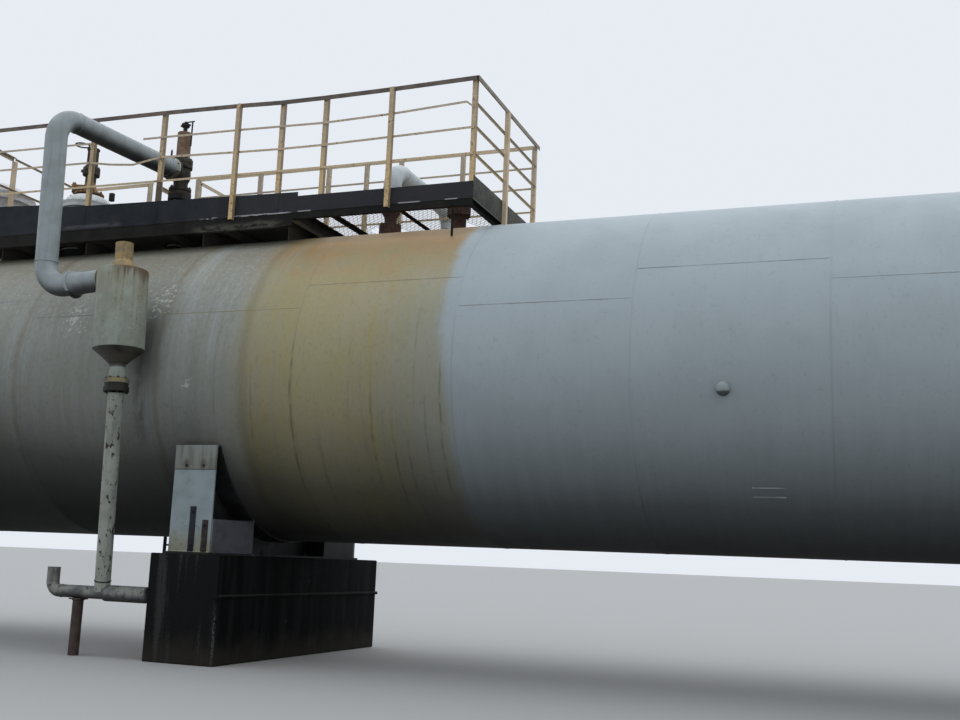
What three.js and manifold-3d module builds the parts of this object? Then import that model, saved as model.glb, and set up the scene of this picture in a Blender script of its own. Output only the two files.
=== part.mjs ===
// Horizontal steel storage tank on two saddles and piers, with its top platform.
// Millimetres. +X runs along the tank and +Z is up. The sizes below are taken from
// the middle of the tank and from a level 120 above the floor; the whole is then
// moved so that the origin lies on the floor under the middle of the left pier.
import * as THREE from 'three';
import { mergeVertices } from 'three/addons/utils/BufferGeometryUtils.js';
import Module from 'manifold-3d';

const wasm = await Module();
wasm.setup();

// Tank
const TANK_R = 1524;
const WALL = 24;
const AXIS_Z = 2500;
const SECTION = 6000;
const SECTIONS = 4;
const HEAD_SKIRT = 40;
const HEAD_DEPTH = 762;
const ROUND = 48;
const HEAD_STEPS = 6;
const GAP = 0.3;

// Saddles and piers
const FLOOR = -120;
const PIER_X = 6925;
const SADDLE_OFFSET = 70;
const SADDLE_W = 432;
const PAD_T = 16;
const HORN_Z = 1785;
const PIER_W = 720;
const PIER_L = 3110;
const PIER_H = 815;
const BASE_T = 18;
const END_PLATE_Y = 1400;
const INNER_RIB_Y = 710;
const PLATE_T = 16;
const BAR_Z = 446;

// Platform
const DECK_TOP = 4120;
const DECK_T = 6;
const DECK_LEFT = -10620;
const DECK_JOIN = -6480;
const DECK_RIGHT = -4620;
const DECK_HALF = 905;
const STRINGER_T = 45;
const STRINGER_H_LEFT = 160;
const STRINGER_H_RIGHT = 95;
const JOIST_T = 50;
const TOE_T = 4;
const POST = 45;
const RAIL = 25;
const TOP_RAIL_Z = 5240;
const MID_RAILS_Z = [4992, 4764, 4504];
const OUTER_POST_FOOT = 4050;
const CRADLE_T = 12;

// Fittings along the crown
const VALVE_1_X = -8472;
const VALVE_2_X = -9715;
const NOZZLE_A_X = -5870;
const NOZZLE_B_X = -5120;
const LINE_R = 104;
const LINE_Y = -1800;
const DRUM_X = -7675;
const LADDER_X = -9220;
const LADDER_HALF = 290;
const LANDING_END = 1650;

const COLOURS = {
  fresh: [0x8f9ca3, 0.6, 0.1],
  weathered: [0x7d8783, 0.75, 0.1],
  stained: [0x8b7d58, 0.8, 0.1],
  saddle: [0x8797a0, 0.6, 0.1],
  black: [0x1d2023, 0.7, 0.05],
  slate: [0x23262b, 0.7, 0.2],
  ochre: [0x9a7a3c, 0.7, 0.2],
  brown: [0x4a2c20, 0.85, 0.2],
  line: [0x98a4a6, 0.6, 0.1],
  olive: [0x6c705c, 0.8, 0.1],
  pale: [0xa9aca0, 0.8, 0.05],
  iron: [0x33373a, 0.6, 0.4],
};

const group = new THREE.Group();
group.name = 'gas_storage_tank';
const tank = new THREE.Group();
tank.name = 'tank';
tank.position.set(PIER_X, 0, -FLOOR);
group.add(tank);

function finish(name, colour) {
  const [hex, roughness, metalness] = COLOURS[colour];
  const material = new THREE.MeshStandardMaterial({ color: hex, roughness, metalness });
  material.name = name + '_finish';
  return material;
}

function bare(geometry) {
  const plain = geometry.clone();
  plain.deleteAttribute('normal');
  plain.deleteAttribute('uv');
  return mergeVertices(plain, 1e-3);
}

function signedVolume(position, index) {
  const a = new THREE.Vector3();
  const b = new THREE.Vector3();
  const c = new THREE.Vector3();
  let total = 0;
  for (let i = 0; i < index.count; i += 3) {
    a.fromBufferAttribute(position, index.getX(i));
    b.fromBufferAttribute(position, index.getX(i + 1));
    c.fromBufferAttribute(position, index.getX(i + 2));
    total += a.dot(b.cross(c));
  }
  return total;
}

function outward(geometry) {
  const plain = bare(geometry);
  if (signedVolume(plain.attributes.position, plain.index) < 0) {
    const turned = Array.from(plain.index.array);
    for (let i = 0; i < turned.length; i += 3) {
      [turned[i], turned[i + 1]] = [turned[i + 1], turned[i]];
    }
    plain.setIndex(turned);
  }
  return plain;
}

function solid(geometry) {
  const plain = outward(geometry);
  return new wasm.Manifold(new wasm.Mesh({
    numProp: 3,
    vertProperties: new Float32Array(plain.attributes.position.array),
    triVerts: new Uint32Array(plain.index.array),
  }));
}

function geometryOf(manifold) {
  const mesh = manifold.getMesh();
  const geometry = new THREE.BufferGeometry();
  geometry.setAttribute('position', new THREE.BufferAttribute(new Float32Array(mesh.vertProperties), 3));
  geometry.setIndex(Array.from(mesh.triVerts));
  return geometry;
}

function joined(geometries) {
  return geometries.map(solid).reduce((whole, piece) => whole.add(piece));
}

function add(name, geometry, colour) {
  const flat = (geometry.index ? geometry : outward(geometry)).toNonIndexed();
  flat.computeVertexNormals();
  const mesh = new THREE.Mesh(flat, finish(name, colour));
  mesh.name = name;
  tank.add(mesh);
}

// A box between two corners.
function box(x0, x1, y0, y1, z0, z1) {
  const geometry = new THREE.BoxGeometry(x1 - x0, y1 - y0, z1 - z0);
  geometry.translate((x0 + x1) / 2, (y0 + y1) / 2, (z0 + z1) / 2);
  return geometry;
}

// A solid turned about an upright axis; the profile is [radius, height] pairs.
function turned(profile, x, y, sides = 16) {
  const points = profile.map(([r, z]) => new THREE.Vector2(r, z));
  const geometry = new THREE.LatheGeometry(points, sides);
  geometry.rotateX(Math.PI / 2);
  geometry.translate(x, y, 0);
  return outward(geometry);
}

// A solid turned about the tank's own axis; the profile is [radius, x] pairs.
function aboutTank(profile, sides = ROUND) {
  const points = profile.map(([r, x]) => new THREE.Vector2(r, x));
  const geometry = new THREE.LatheGeometry(points, sides);
  geometry.rotateZ(-Math.PI / 2);
  geometry.rotateX(Math.PI / 2);
  geometry.translate(0, 0, AXIS_Z);
  return outward(geometry);
}

// A round bar from one point to another.
function rod(from, to, radius, sides = 12) {
  const a = new THREE.Vector3(...from);
  const b = new THREE.Vector3(...to);
  const along = b.clone().sub(a);
  const geometry = new THREE.CylinderGeometry(radius, radius, along.length(), sides);
  const turn = new THREE.Quaternion().setFromUnitVectors(new THREE.Vector3(0, 1, 0), along.clone().normalize());
  geometry.applyQuaternion(turn);
  const middle = a.add(b).multiplyScalar(0.5);
  geometry.translate(middle.x, middle.y, middle.z);
  return outward(geometry);
}

// A round pipe through corner points, with a bend of the given radius at each one.
function pipe(corners, bend, radius, sides = 12, steps = 36) {
  const path = new THREE.CurvePath();
  const points = corners.map((p) => new THREE.Vector3(...p));
  let start = points[0];
  for (let i = 1; i < points.length - 1; i += 1) {
    const into = points[i].clone().sub(points[i - 1]).normalize();
    const outof = points[i + 1].clone().sub(points[i]).normalize();
    const before = points[i].clone().addScaledVector(into, -bend);
    const after = points[i].clone().addScaledVector(outof, bend);
    path.add(new THREE.LineCurve3(start, before));
    path.add(new THREE.QuadraticBezierCurve3(before, points[i], after));
    start = after;
  }
  path.add(new THREE.LineCurve3(start, points[points.length - 1]));
  const ring = [];
  for (let i = 0; i < sides; i += 1) {
    const angle = (i / sides) * Math.PI * 2;
    ring.push(new THREE.Vector2(radius * Math.cos(angle), radius * Math.sin(angle)));
  }
  return outward(new THREE.ExtrudeGeometry(new THREE.Shape(ring), { steps, extrudePath: path }));
}

// Shell, in four sections of four courses each, and its two dished ends
const firstEnd = -(SECTION * SECTIONS) / 2;
const sectionColours = ['weathered', 'stained', 'fresh', 'fresh'];
for (let i = 0; i < SECTIONS; i += 1) {
  const x0 = firstEnd + i * SECTION + GAP / 2;
  const x1 = x0 + SECTION - GAP;
  const section = aboutTank([
    [TANK_R, x0],
    [TANK_R, x1],
    [TANK_R - WALL, x1],
    [TANK_R - WALL, x0],
    [TANK_R, x0],
  ]);
  add('shell_section_' + (i + 1), section, sectionColours[i]);
}

function headProfile(sign) {
  const start = -firstEnd + GAP / 2;
  const profile = [];
  for (let i = 0; i <= HEAD_STEPS; i += 1) {
    const angle = (Math.PI / 2) * (1 - i / HEAD_STEPS);
    const x = start + HEAD_SKIRT + HEAD_DEPTH * Math.sin(angle);
    profile.push([i === 0 ? 0 : TANK_R * Math.cos(angle), sign * x]);
  }
  profile.push([TANK_R, sign * start]);
  profile.push([TANK_R - WALL, sign * start]);
  for (let i = HEAD_STEPS; i >= 0; i -= 1) {
    const angle = (Math.PI / 2) * (1 - i / HEAD_STEPS);
    const x = start + HEAD_SKIRT + (HEAD_DEPTH - WALL) * Math.sin(angle);
    profile.push([i === 0 ? 0 : (TANK_R - WALL) * Math.cos(angle), sign * x]);
  }
  return profile;
}
add('head_left', aboutTank(headProfile(-1)), 'weathered');
add('head_right', aboutTank(headProfile(1)), 'fresh');

// The space that the shell fills about one place, for cutting what sits on it.
function shellSpace(radius, x, reach) {
  return solid(aboutTank([
    [0, x - reach],
    [radius, x - reach],
    [radius, x + reach],
    [0, x + reach],
  ]));
}

// Small welded boss low on the near side
const BOSS_X = -2286;
const boss = solid(rod([BOSS_X, -1560, 2196], [BOSS_X, -1440, 2220], 55));
add('shell_boss', geometryOf(boss.subtract(shellSpace(TANK_R + GAP, BOSS_X, 200))), 'fresh');

// Saddles, each with its wrap pad, on a pier

function saddle(side, pierX, barSide) {
  const padR = TANK_R + GAP;
  const x = pierX - barSide * SADDLE_OFFSET;
  const x0 = x - SADDLE_W / 2;
  const x1 = x + SADDLE_W / 2;
  const ring = solid(aboutTank([
    [padR, x0],
    [padR, x1],
    [padR + PAD_T, x1],
    [padR + PAD_T, x0],
    [padR, x0],
  ]));
  const below = solid(box(x0 - 10, x1 + 10, -TANK_R * 1.2, TANK_R * 1.2, 0, HORN_Z));
  add('saddle_pad_' + side, geometryOf(ring.intersect(below)), 'saddle');

  const baseZ = PIER_H + GAP;
  const plates = [
    box(x0 - 20, x1 + 20, -END_PLATE_Y - 50, END_PLATE_Y + 50, baseZ, baseZ + BASE_T),
    box(x - PLATE_T / 2, x + PLATE_T / 2, -END_PLATE_Y, END_PLATE_Y, baseZ + 2, HORN_Z),
  ];
  for (const y of [-END_PLATE_Y, END_PLATE_Y]) {
    const inner = Math.sign(y) * (Math.abs(y) - 120);
    plates.push(box(x0, x1, y - PLATE_T / 2, y + PLATE_T / 2, baseZ + 2, HORN_Z));
    plates.push(box(x0, x1, Math.min(y, inner), Math.max(y, inner), HORN_Z - PLATE_T, HORN_Z));
  }
  for (const y of [-INNER_RIB_Y, INNER_RIB_Y]) {
    plates.push(box(x0, x1, y - PLATE_T / 2, y + PLATE_T / 2, baseZ + 2, HORN_Z));
  }
  const frame = joined(plates).subtract(shellSpace(padR + PAD_T + GAP, x, SADDLE_W));
  add('saddle_frame_' + side, geometryOf(frame), 'saddle');

  const half = PIER_W / 2;
  const face = pierX + barSide * (half - 20);
  const out = pierX + barSide * (half + 14);
  add('pier_' + side, geometryOf(joined([
    box(pierX - half, pierX + half, -PIER_L / 2, PIER_L / 2, FLOOR, PIER_H),
    box(Math.min(face, out), Math.max(face, out), -PIER_L / 2 - 25, PIER_L / 2 + 25, BAR_Z, BAR_Z + 30),
  ])), 'black');
}
saddle('left', -PIER_X, 1);
saddle('right', PIER_X, -1);

const strapY = -END_PLATE_Y - PLATE_T / 2 - GAP;
const strapFoot = PIER_H + BASE_T + 2 * GAP;
const leftPlateX = -PIER_X - SADDLE_OFFSET;
const tallX = leftPlateX + 20;
add('earth_strap_tall', box(tallX - 30, tallX + 30, strapY - 8, strapY, strapFoot, strapFoot + 402), 'black');
const shortX = leftPlateX + 155;
add('earth_strap_short', box(shortX - 30, shortX + 30, strapY - 8, strapY, strapFoot, strapFoot + 285), 'black');

// Platform frame: stringers and joists under a plate deck
const deckUnder = DECK_TOP - DECK_T;
const frameTop = deckUnder - GAP;
const joistFoot = AXIS_Z + TANK_R + GAP;
const joistTop = frameTop - 2;

function platformFrame(x0, x1, depth, joistXs) {
  const parts = [];
  for (const s of [-1, 1]) {
    const outer = s * DECK_HALF;
    const inner = s * (DECK_HALF - STRINGER_T);
    parts.push(box(x0, x1, Math.min(outer, inner), Math.max(outer, inner), frameTop - depth, frameTop));
  }
  for (const x of joistXs) {
    parts.push(box(x - JOIST_T / 2, x + JOIST_T / 2, -DECK_HALF + 10, DECK_HALF - 10, joistFoot, joistTop));
  }
  return joined(parts);
}
const leftJoists = [DECK_LEFT + 30, -10050, -9350, -8980, -8080, -7400, DECK_JOIN - 30];
const rightJoists = [DECK_JOIN + 30, -6210, -5470, DECK_RIGHT - 30];
add('frame_left', geometryOf(platformFrame(DECK_LEFT, DECK_JOIN - GAP, STRINGER_H_LEFT, leftJoists)), 'slate');
const legs = [-1, 1].map((s) => box(-4822, -4782, Math.min(s * 905, s * 870), Math.max(s * 905, s * 870), 3600, frameTop - 20));
const frameRight = platformFrame(DECK_JOIN, DECK_RIGHT, STRINGER_H_RIGHT, rightJoists)
  .add(joined(legs))
  .subtract(shellSpace(TANK_R + GAP, -4800, 200));
add('frame_right', geometryOf(frameRight), 'slate');

// Upright plates that carry the frame on the shell
const cradleXs = [-10320, -9180, -7700, -6700];
cradleXs.forEach((x, i) => {
  const half = 580;
  const plate = solid(box(x - CRADLE_T / 2, x + CRADLE_T / 2, -half, half, 3700, joistTop));
  add('cradle_' + (i + 1), geometryOf(plate.subtract(shellSpace(TANK_R + GAP, x, 100))), 'slate');
});

// Deck plates with holes round the fittings
function deck(x0, x1, holes) {
  let plate = solid(box(x0, x1, -DECK_HALF, DECK_HALF, deckUnder, DECK_TOP));
  for (const [x, r] of holes) {
    plate = plate.subtract(solid(turned([[0, deckUnder - 20], [r, deckUnder - 20], [r, DECK_TOP + 20], [0, DECK_TOP + 20]], x, 0)));
  }
  return geometryOf(plate);
}
add('deck_left', deck(DECK_LEFT, DECK_JOIN - GAP, [[VALVE_2_X, 310], [VALVE_1_X, 130]]), 'slate');
add('deck_right', deck(DECK_JOIN, DECK_RIGHT, [[NOZZLE_A_X, 150], [NOZZLE_B_X, 120]]), 'slate');

// Toe boards; the left one is deeper and rises slightly to the left
const toeY = DECK_HALF + GAP;
const LANDING_LEFT = LADDER_X - LADDER_HALF - 25;
const LANDING_RIGHT = LADDER_X + LADDER_HALF + 25;
function toeBoard(x0, x1, side, foot, top0, top1) {
  const shape = new THREE.Shape([
    new THREE.Vector2(x0, foot),
    new THREE.Vector2(x1, foot),
    new THREE.Vector2(x1, top1),
    new THREE.Vector2(x0, top0),
  ]);
  const geometry = new THREE.ExtrudeGeometry(shape, { depth: TOE_T, bevelEnabled: false });
  geometry.rotateX(Math.PI / 2);
  geometry.translate(0, side > 0 ? toeY + TOE_T : -toeY, 0);
  return outward(geometry);
}
const TOE_JOIN = -6430;
add('toe_near_left', toeBoard(DECK_LEFT, TOE_JOIN, -1, 4080, 4375, 4285), 'slate');
add('toe_near_right', toeBoard(TOE_JOIN + 1, DECK_RIGHT, -1, 4085, 4245, 4245), 'slate');
add('toe_far_left', toeBoard(DECK_LEFT, LANDING_LEFT - 5, 1, 4085, 4245, 4245), 'slate');
add('toe_far_right', toeBoard(LANDING_RIGHT + 5, DECK_RIGHT, 1, 4085, 4245, 4245), 'slate');
const endToe = (x) => box(x, x + TOE_T, -DECK_HALF, DECK_HALF, 4085, 4245);
add('toe_right_end', endToe(DECK_RIGHT + GAP), 'slate');
add('toe_left_end', endToe(DECK_LEFT - GAP - TOE_T), 'slate');

// Railings
const innerPost = (s) => s * (DECK_HALF - POST / 2);
const outerPost = (s) => s * (DECK_HALF + GAP + TOE_T + GAP + POST / 2);
function post(x, y, foot, top = TOP_RAIL_Z - 10) {
  return box(x - POST / 2, x + POST / 2, y - POST / 2, y + POST / 2, foot, top);
}
const railY = (s) => s * (DECK_HALF + 2);
function railX(x0, x1, s, z) {
  const y = railY(s);
  return box(x0, x1, y - RAIL / 2, y + RAIL / 2, z - RAIL / 2, z + RAIL / 2);
}
function topRailX(x0, x1, s) {
  const y = railY(s);
  return box(x0, x1, y - POST / 2, y + POST / 2, TOP_RAIL_Z - POST, TOP_RAIL_Z);
}
const postFoot = DECK_TOP + GAP;
const cornerIn = POST / 2;
const nearInner = [DECK_LEFT + cornerIn, -9400, -8950, -8070, -6670, -6190, DECK_RIGHT - cornerIn];
const nearOuter = [-7150, -5465];
// The near railing's bars follow the deck's slight bend; pairs are [x, middle height]
const NEAR_TOP = [
  [DECK_RIGHT, 5229], [-5465, 5215], [-6190, 5211], [-6670, 5215], [-7150, 5234], [-8070, 5257], [DECK_LEFT, 5293],
];
const NEAR_A = [[-4715, 5011], [-5465, 4974], [-6190, 4960], [-6670, 4972], [-7150, 4985], [-8300, 5003]];
const NEAR_A_LEFT = [[-8950, 5018], [DECK_LEFT, 5050]];
const NEAR_B = [[DECK_RIGHT - 10, 4758], [-5465, 4745], [-6190, 4735], [-6670, 4739], [-7150, 4753], [-8070, 4786]];
const NEAR_B_LEFT = [[-8950, 4806], [DECK_LEFT, 4836]];
const NEAR_C = [[DECK_RIGHT - 10, 4507], [-5465, 4503], [-6670, 4512], [-8070, 4530], [DECK_LEFT, 4562]];
const BOWED = [[-8960, 4806], [-8400, 4735], [-8060, 4786]];
function heightAt(knots, x) {
  for (let i = 1; i < knots.length; i += 1) {
    const [x1, z1] = knots[i - 1];
    const [x2, z2] = knots[i];
    if (x >= x2 && x <= x1) {
      return z1 + ((z2 - z1) * (x - x1)) / (x2 - x1);
    }
  }
  return knots[0][1];
}
function nearBar(knots, size) {
  const upper = knots.map(([x, z]) => new THREE.Vector2(x, z + size / 2));
  const lower = knots.map(([x, z]) => new THREE.Vector2(x, z - size / 2)).reverse();
  const geometry = new THREE.ExtrudeGeometry(new THREE.Shape([...upper, ...lower]), { depth: size, bevelEnabled: false });
  geometry.rotateX(Math.PI / 2);
  geometry.translate(0, railY(-1) + size / 2, 0);
  return outward(geometry);
}
const nearPost = (x, y, foot) => post(x, y, foot, heightAt(NEAR_TOP, x));
const nearRails = [
  nearBar(NEAR_TOP, POST),
  nearBar(NEAR_A, RAIL),
  rod([-4723, railY(-1), 5010], [DECK_RIGHT - 20, railY(-1), 4955], RAIL / 2, 6),
  nearBar(NEAR_A_LEFT, RAIL),
  nearBar(NEAR_B, RAIL),
  nearBar(NEAR_B_LEFT, RAIL),
  nearBar(NEAR_C, RAIL),
  nearBar(BOWED, RAIL),
  ...nearInner.map((x) => nearPost(x, innerPost(-1), postFoot)),
  ...nearOuter.map((x) => nearPost(x, outerPost(-1), OUTER_POST_FOOT)),
];
add('railing_near', geometryOf(joined(nearRails)), 'ochre');

function farRailing(x0, x1, xs, gaps = []) {
  const bars = MID_RAILS_Z.flatMap((z, i) => {
    const [left, right] = gaps[i] || [x1, x1];
    const runs = [[x0, left], [right, x1]].filter(([a, b]) => b > a);
    return runs.map(([a, b]) => railX(a, b, 1, z));
  });
  return geometryOf(joined([
    topRailX(x0, x1, 1),
    ...bars,
    ...xs.map((x) => post(x, innerPost(1), postFoot)),
  ]));
}
const farRightPosts = [LANDING_RIGHT + 30, -8010, -7107, -6625, -6200, -5460, DECK_RIGHT - cornerIn];
// The middle bar stops on both sides of the gas riser
const farGaps = [null, [-6190, -5470], null];
add('railing_far_right', farRailing(LANDING_RIGHT + 8, DECK_RIGHT, farRightPosts, farGaps), 'ochre');
add('railing_far_left', farRailing(DECK_LEFT, LANDING_LEFT - 8, [DECK_LEFT + cornerIn, LANDING_LEFT - 30]), 'ochre');

function endRailing(x, s, midY) {
  const span = DECK_HALF - POST - GAP;
  const near = x + s * 25;
  const far = x - s * 10;
  const rails = [TOP_RAIL_Z - RAIL, ...MID_RAILS_Z].map((z) => box(
    Math.min(near, far), Math.max(near, far), -span, span, z - RAIL / 2, z + RAIL / 2,
  ));
  const face = x + s * (GAP + TOE_T + GAP);
  const out = face + s * POST;
  const mid = box(Math.min(face, out), Math.max(face, out), midY - POST / 2, midY + POST / 2, 4060, TOP_RAIL_Z - RAIL);
  return geometryOf(joined([...rails, mid]));
}
add('railing_right_end', endRailing(DECK_RIGHT, 1, -112), 'ochre');
add('railing_left_end', endRailing(DECK_LEFT, -1, -182), 'ochre');

// Landing and upright ladder on the far side
const landingY = toeY + TOE_T + POST + 4;
add('landing_floor', box(LANDING_LEFT, LANDING_RIGHT, toeY, LANDING_END, DECK_TOP - 46, DECK_TOP), 'slate');
function landingRail(x) {
  const bars = [TOP_RAIL_Z - RAIL, ...MID_RAILS_Z.slice(1)].map((z) => box(
    x - RAIL / 2, x + RAIL / 2, landingY + 5, LANDING_END - 5, z - RAIL / 2, z + RAIL / 2,
  ));
  return geometryOf(joined([
    post(x, landingY + POST / 2, postFoot),
    post(x, LANDING_END - POST / 2, postFoot),
    ...bars,
  ]));
}
add('landing_rail_left', landingRail(LANDING_LEFT + POST / 2), 'ochre');
add('landing_rail_right', landingRail(LANDING_RIGHT - POST / 2), 'ochre');

const ladderY = LANDING_END + GAP;
const ladderParts = [];
for (const s of [-1, 1]) {
  const x = LADDER_X + s * (LADDER_HALF - 20);
  ladderParts.push(box(x - 6, x + 6, ladderY, ladderY + 60, FLOOR, DECK_TOP - 10));
  ladderParts.push(box(x - 6, x + 6, TANK_R + 2 * GAP, ladderY + 10, AXIS_Z - 25, AXIS_Z + 25));
}
const RUNG_STEP = 300;
const RUNGS = 13;
for (let i = 1; i <= RUNGS; i += 1) {
  const z = i * RUNG_STEP;
  ladderParts.push(rod([LADDER_X - LADDER_HALF + 18, ladderY + 30, z], [LADDER_X + LADDER_HALF - 18, ladderY + 30, z], 11, 6));
}
add('ladder', geometryOf(joined(ladderParts)), 'slate');

// Manhole neck and dished cover that carries the left relief valve
const crown = AXIS_Z + TANK_R + 2 * GAP;
function onShell(profile, x, sides = 16) {
  const stub = solid(turned(profile, x, 0, sides));
  return geometryOf(stub.subtract(shellSpace(TANK_R + GAP, x, 600)));
}
add('manhole_neck', onShell([[0, 3900], [250, 3900], [250, 4600], [300, 4600], [300, 4640], [0, 4640]], VALVE_2_X), 'pale');
const cover = [[0, 4640 + GAP], [300, 4640 + GAP], [300, 4675], [262, 4680], [238, 4730], [170, 4775], [100, 4792], [0, 4795]];
add('manhole_cover', turned(cover, VALVE_2_X, 0), 'pale');

// Relief valves
const coverTop = 4795 + GAP;
const valve2 = [
  [0, coverTop],
  [165, coverTop],
  [165, coverTop + 28],
  [88, coverTop + 70],
  [62, coverTop + 150],
  [95, coverTop + 190],
  [95, coverTop + 225],
  [68, coverTop + 240],
  [64, coverTop + 430],
  [72, coverTop + 450],
  [60, coverTop + 470],
  [24, coverTop + 500],
  [24, coverTop + 640],
  [0, coverTop + 645],
];
const valve2Side = rod([VALVE_2_X, 0, coverTop + 208], [VALVE_2_X - 90, -80, coverTop + 208], 44);
const valve2Plate = rod([VALVE_2_X - 82, -73, coverTop + 208], [VALVE_2_X - 102, -91, coverTop + 208], 66);
add('relief_valve_left', geometryOf(joined([turned(valve2, VALVE_2_X, 0), valve2Side, valve2Plate])), 'brown');

const seat1 = 4690;
add('valve_nozzle', onShell([[0, 3900], [84, 3900], [84, 4640], [124, 4640], [124, seat1], [0, seat1]], VALVE_1_X), 'pale');
const seat = seat1 + GAP;
const valve1 = [
  [0, seat],
  [124, seat],
  [124, seat + 85],
  [66, seat + 95],
  [64, seat + 190],
  [84, seat + 205],
  [84, seat + 420],
  [92, seat + 425],
  [92, seat + 450],
  [71, seat + 456],
  [71, seat + 745],
  [50, seat + 765],
  [26, seat + 775],
  [26, seat + 800],
  [44, seat + 805],
  [40, seat + 860],
  [0, seat + 880],
];
const OUTLET_Z = 5020;
const valve1Side = rod([VALVE_1_X, 0, OUTLET_Z], [VALVE_1_X, -170, OUTLET_Z], 84);
const valve1Plate = rod([VALVE_1_X, -150, OUTLET_Z], [VALVE_1_X, -180, OUTLET_Z], 142, 16);
add('relief_valve_right', geometryOf(joined([turned(valve1, VALVE_1_X, 0), valve1Side, valve1Plate])), 'iron');

// Relief line from the right valve down to the drip drum
const DRUM_R = 228;
const LINE_LOW_Z = 3262;
const LEG_X = -8592;
add('relief_line', geometryOf(joined([
  pipe([
    [VALVE_1_X, -198, OUTLET_Z],
    [LEG_X - 30, LINE_Y, 4915],
    [LEG_X + 30, LINE_Y, LINE_LOW_Z],
    [DRUM_X - DRUM_R - GAP, LINE_Y, LINE_LOW_Z],
  ], 250, LINE_R),
  rod([VALVE_1_X, -180 - GAP, OUTLET_Z], [VALVE_1_X, -210, OUTLET_Z], 142, 16),
])), 'line');
add('drip_drum', turned([
  [0, 2475],
  [78, 2475],
  [84, 2500],
  [DRUM_R, 2600],
  [DRUM_R, 3340],
  [0, 3352],
], DRUM_X, LINE_Y), 'olive');
add('drum_vent', turned([
  [0, 3352 + GAP],
  [120, 3352 + GAP],
  [96, 3420],
  [80, 3430],
  [80, 3598],
  [0, 3602],
], DRUM_X, LINE_Y), 'ochre');
add('drum_flange', turned([
  [0, 2218],
  [112, 2218],
  [112, 2262],
  [104, 2266],
  [104, 2290],
  [112, 2294],
  [112, 2335],
  [72, 2340],
  [72, 2475 - GAP],
  [0, 2475 - GAP],
], DRUM_X, LINE_Y), 'olive');
const HEADER_Y = -1500;
const HEADER_Z = 440;
const HEADER_R = 57;
const DRAIN_FOOT_X = -7812;
const headerEnds = [[-8370, HEADER_Y, HEADER_Z], [-7320, HEADER_Y, HEADER_Z]];
const drain = solid(rod([DRUM_X, LINE_Y, 2240], [DRAIN_FOOT_X, HEADER_Y, HEADER_Z], 66))
  .intersect(solid(box(-8000, -7400, -2000, -1300, 0, 2218 - GAP)))
  .subtract(solid(rod(...headerEnds, HEADER_R + GAP)));
add('drain_pipe', geometryOf(drain), 'pale');
add('header', geometryOf(joined([
  rod(...headerEnds, HEADER_R),
  rod([-8370, HEADER_Y, HEADER_Z], [-8370, HEADER_Y, 650], HEADER_R),
])), 'pale');
add('header_stand', geometryOf(joined([
  box(-8125, -8005, HEADER_Y - 60, HEADER_Y + 60, FLOOR, FLOOR + 12),
  rod([-8065, HEADER_Y, FLOOR + 6], [-8065, HEADER_Y, HEADER_Z - HEADER_R - GAP], 48),
])), 'brown');

// Gas outlet riser, which runs over the far railing's low bar and turns down behind
// it, and the blanked nozzle beside it
add('nozzle_a', onShell([[0, 3900], [70, 3900], [70, 4100], [113, 4105], [113, 4180], [0, 4180]], NOZZLE_A_X), 'brown');
const RISER_R = 92;
const RISER_Z = 4785;
const RISER_FOOT = 4180 + GAP;
const RISER_Y = 1520;
const RISER_END = 4340;
add('gas_riser', geometryOf(joined([
  pipe([
    [NOZZLE_A_X, 0, RISER_FOOT],
    [NOZZLE_A_X, 0, RISER_Z],
    [NOZZLE_A_X, RISER_Y, RISER_Z],
    [NOZZLE_A_X, RISER_Y, RISER_END],
  ], 205, RISER_R, 12, 32),
  rod([NOZZLE_A_X, 0, RISER_FOOT], [NOZZLE_A_X, 0, 4262], 113, 16),
  rod([NOZZLE_A_X, RISER_Y, RISER_END], [NOZZLE_A_X, RISER_Y, RISER_END - 40], 150, 16),
])), 'line');
add('nozzle_b', onShell([[0, 3900], [76, 3900], [76, 4212], [117, 4217], [117, 4280], [0, 4280]], NOZZLE_B_X), 'brown');
add('nozzle_b_cover', turned([[0, 4280 + GAP], [117, 4280 + GAP], [117, 4340], [60, 4346], [0, 4348]], NOZZLE_B_X, 0), 'iron');

// The wider manhole dome beyond the platform's left end
const DOME_X = -11140;
add('dome_neck', onShell([[0, 3900], [440, 3900], [440, 4790], [490, 4790], [490, 4840], [0, 4840]], DOME_X, 24), 'pale');
add('dome_cover', turned([
  [0, 4840 + GAP],
  [490, 4840 + GAP],
  [490, 4880],
  [440, 4886],
  [400, 4950],
  [300, 5010],
  [160, 5040],
  [0, 5050],
], DOME_X, 0, 24), 'pale');

export default group;
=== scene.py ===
import math

import bpy
from mathutils import Matrix, Vector


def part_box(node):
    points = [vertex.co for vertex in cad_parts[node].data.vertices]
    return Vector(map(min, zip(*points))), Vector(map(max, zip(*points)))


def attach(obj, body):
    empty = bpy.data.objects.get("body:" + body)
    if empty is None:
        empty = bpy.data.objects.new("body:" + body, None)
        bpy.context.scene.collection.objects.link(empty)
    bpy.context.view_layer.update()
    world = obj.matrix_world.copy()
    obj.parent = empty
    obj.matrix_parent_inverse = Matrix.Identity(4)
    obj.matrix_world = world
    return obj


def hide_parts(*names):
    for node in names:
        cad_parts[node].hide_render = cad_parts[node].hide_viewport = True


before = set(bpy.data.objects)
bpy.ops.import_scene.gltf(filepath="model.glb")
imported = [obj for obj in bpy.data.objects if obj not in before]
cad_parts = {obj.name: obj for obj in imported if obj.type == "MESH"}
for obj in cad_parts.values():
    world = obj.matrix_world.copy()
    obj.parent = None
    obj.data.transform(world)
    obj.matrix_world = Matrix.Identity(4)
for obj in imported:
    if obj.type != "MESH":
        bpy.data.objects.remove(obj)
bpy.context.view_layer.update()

# Sizes are in metres from the middle of the tank, with heights from the datum of the drawings.
# MID and LIFT carry them into the frame, whose origin is on the ground under the left pier.
MID = 6.925
LIFT = 0.120

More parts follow.
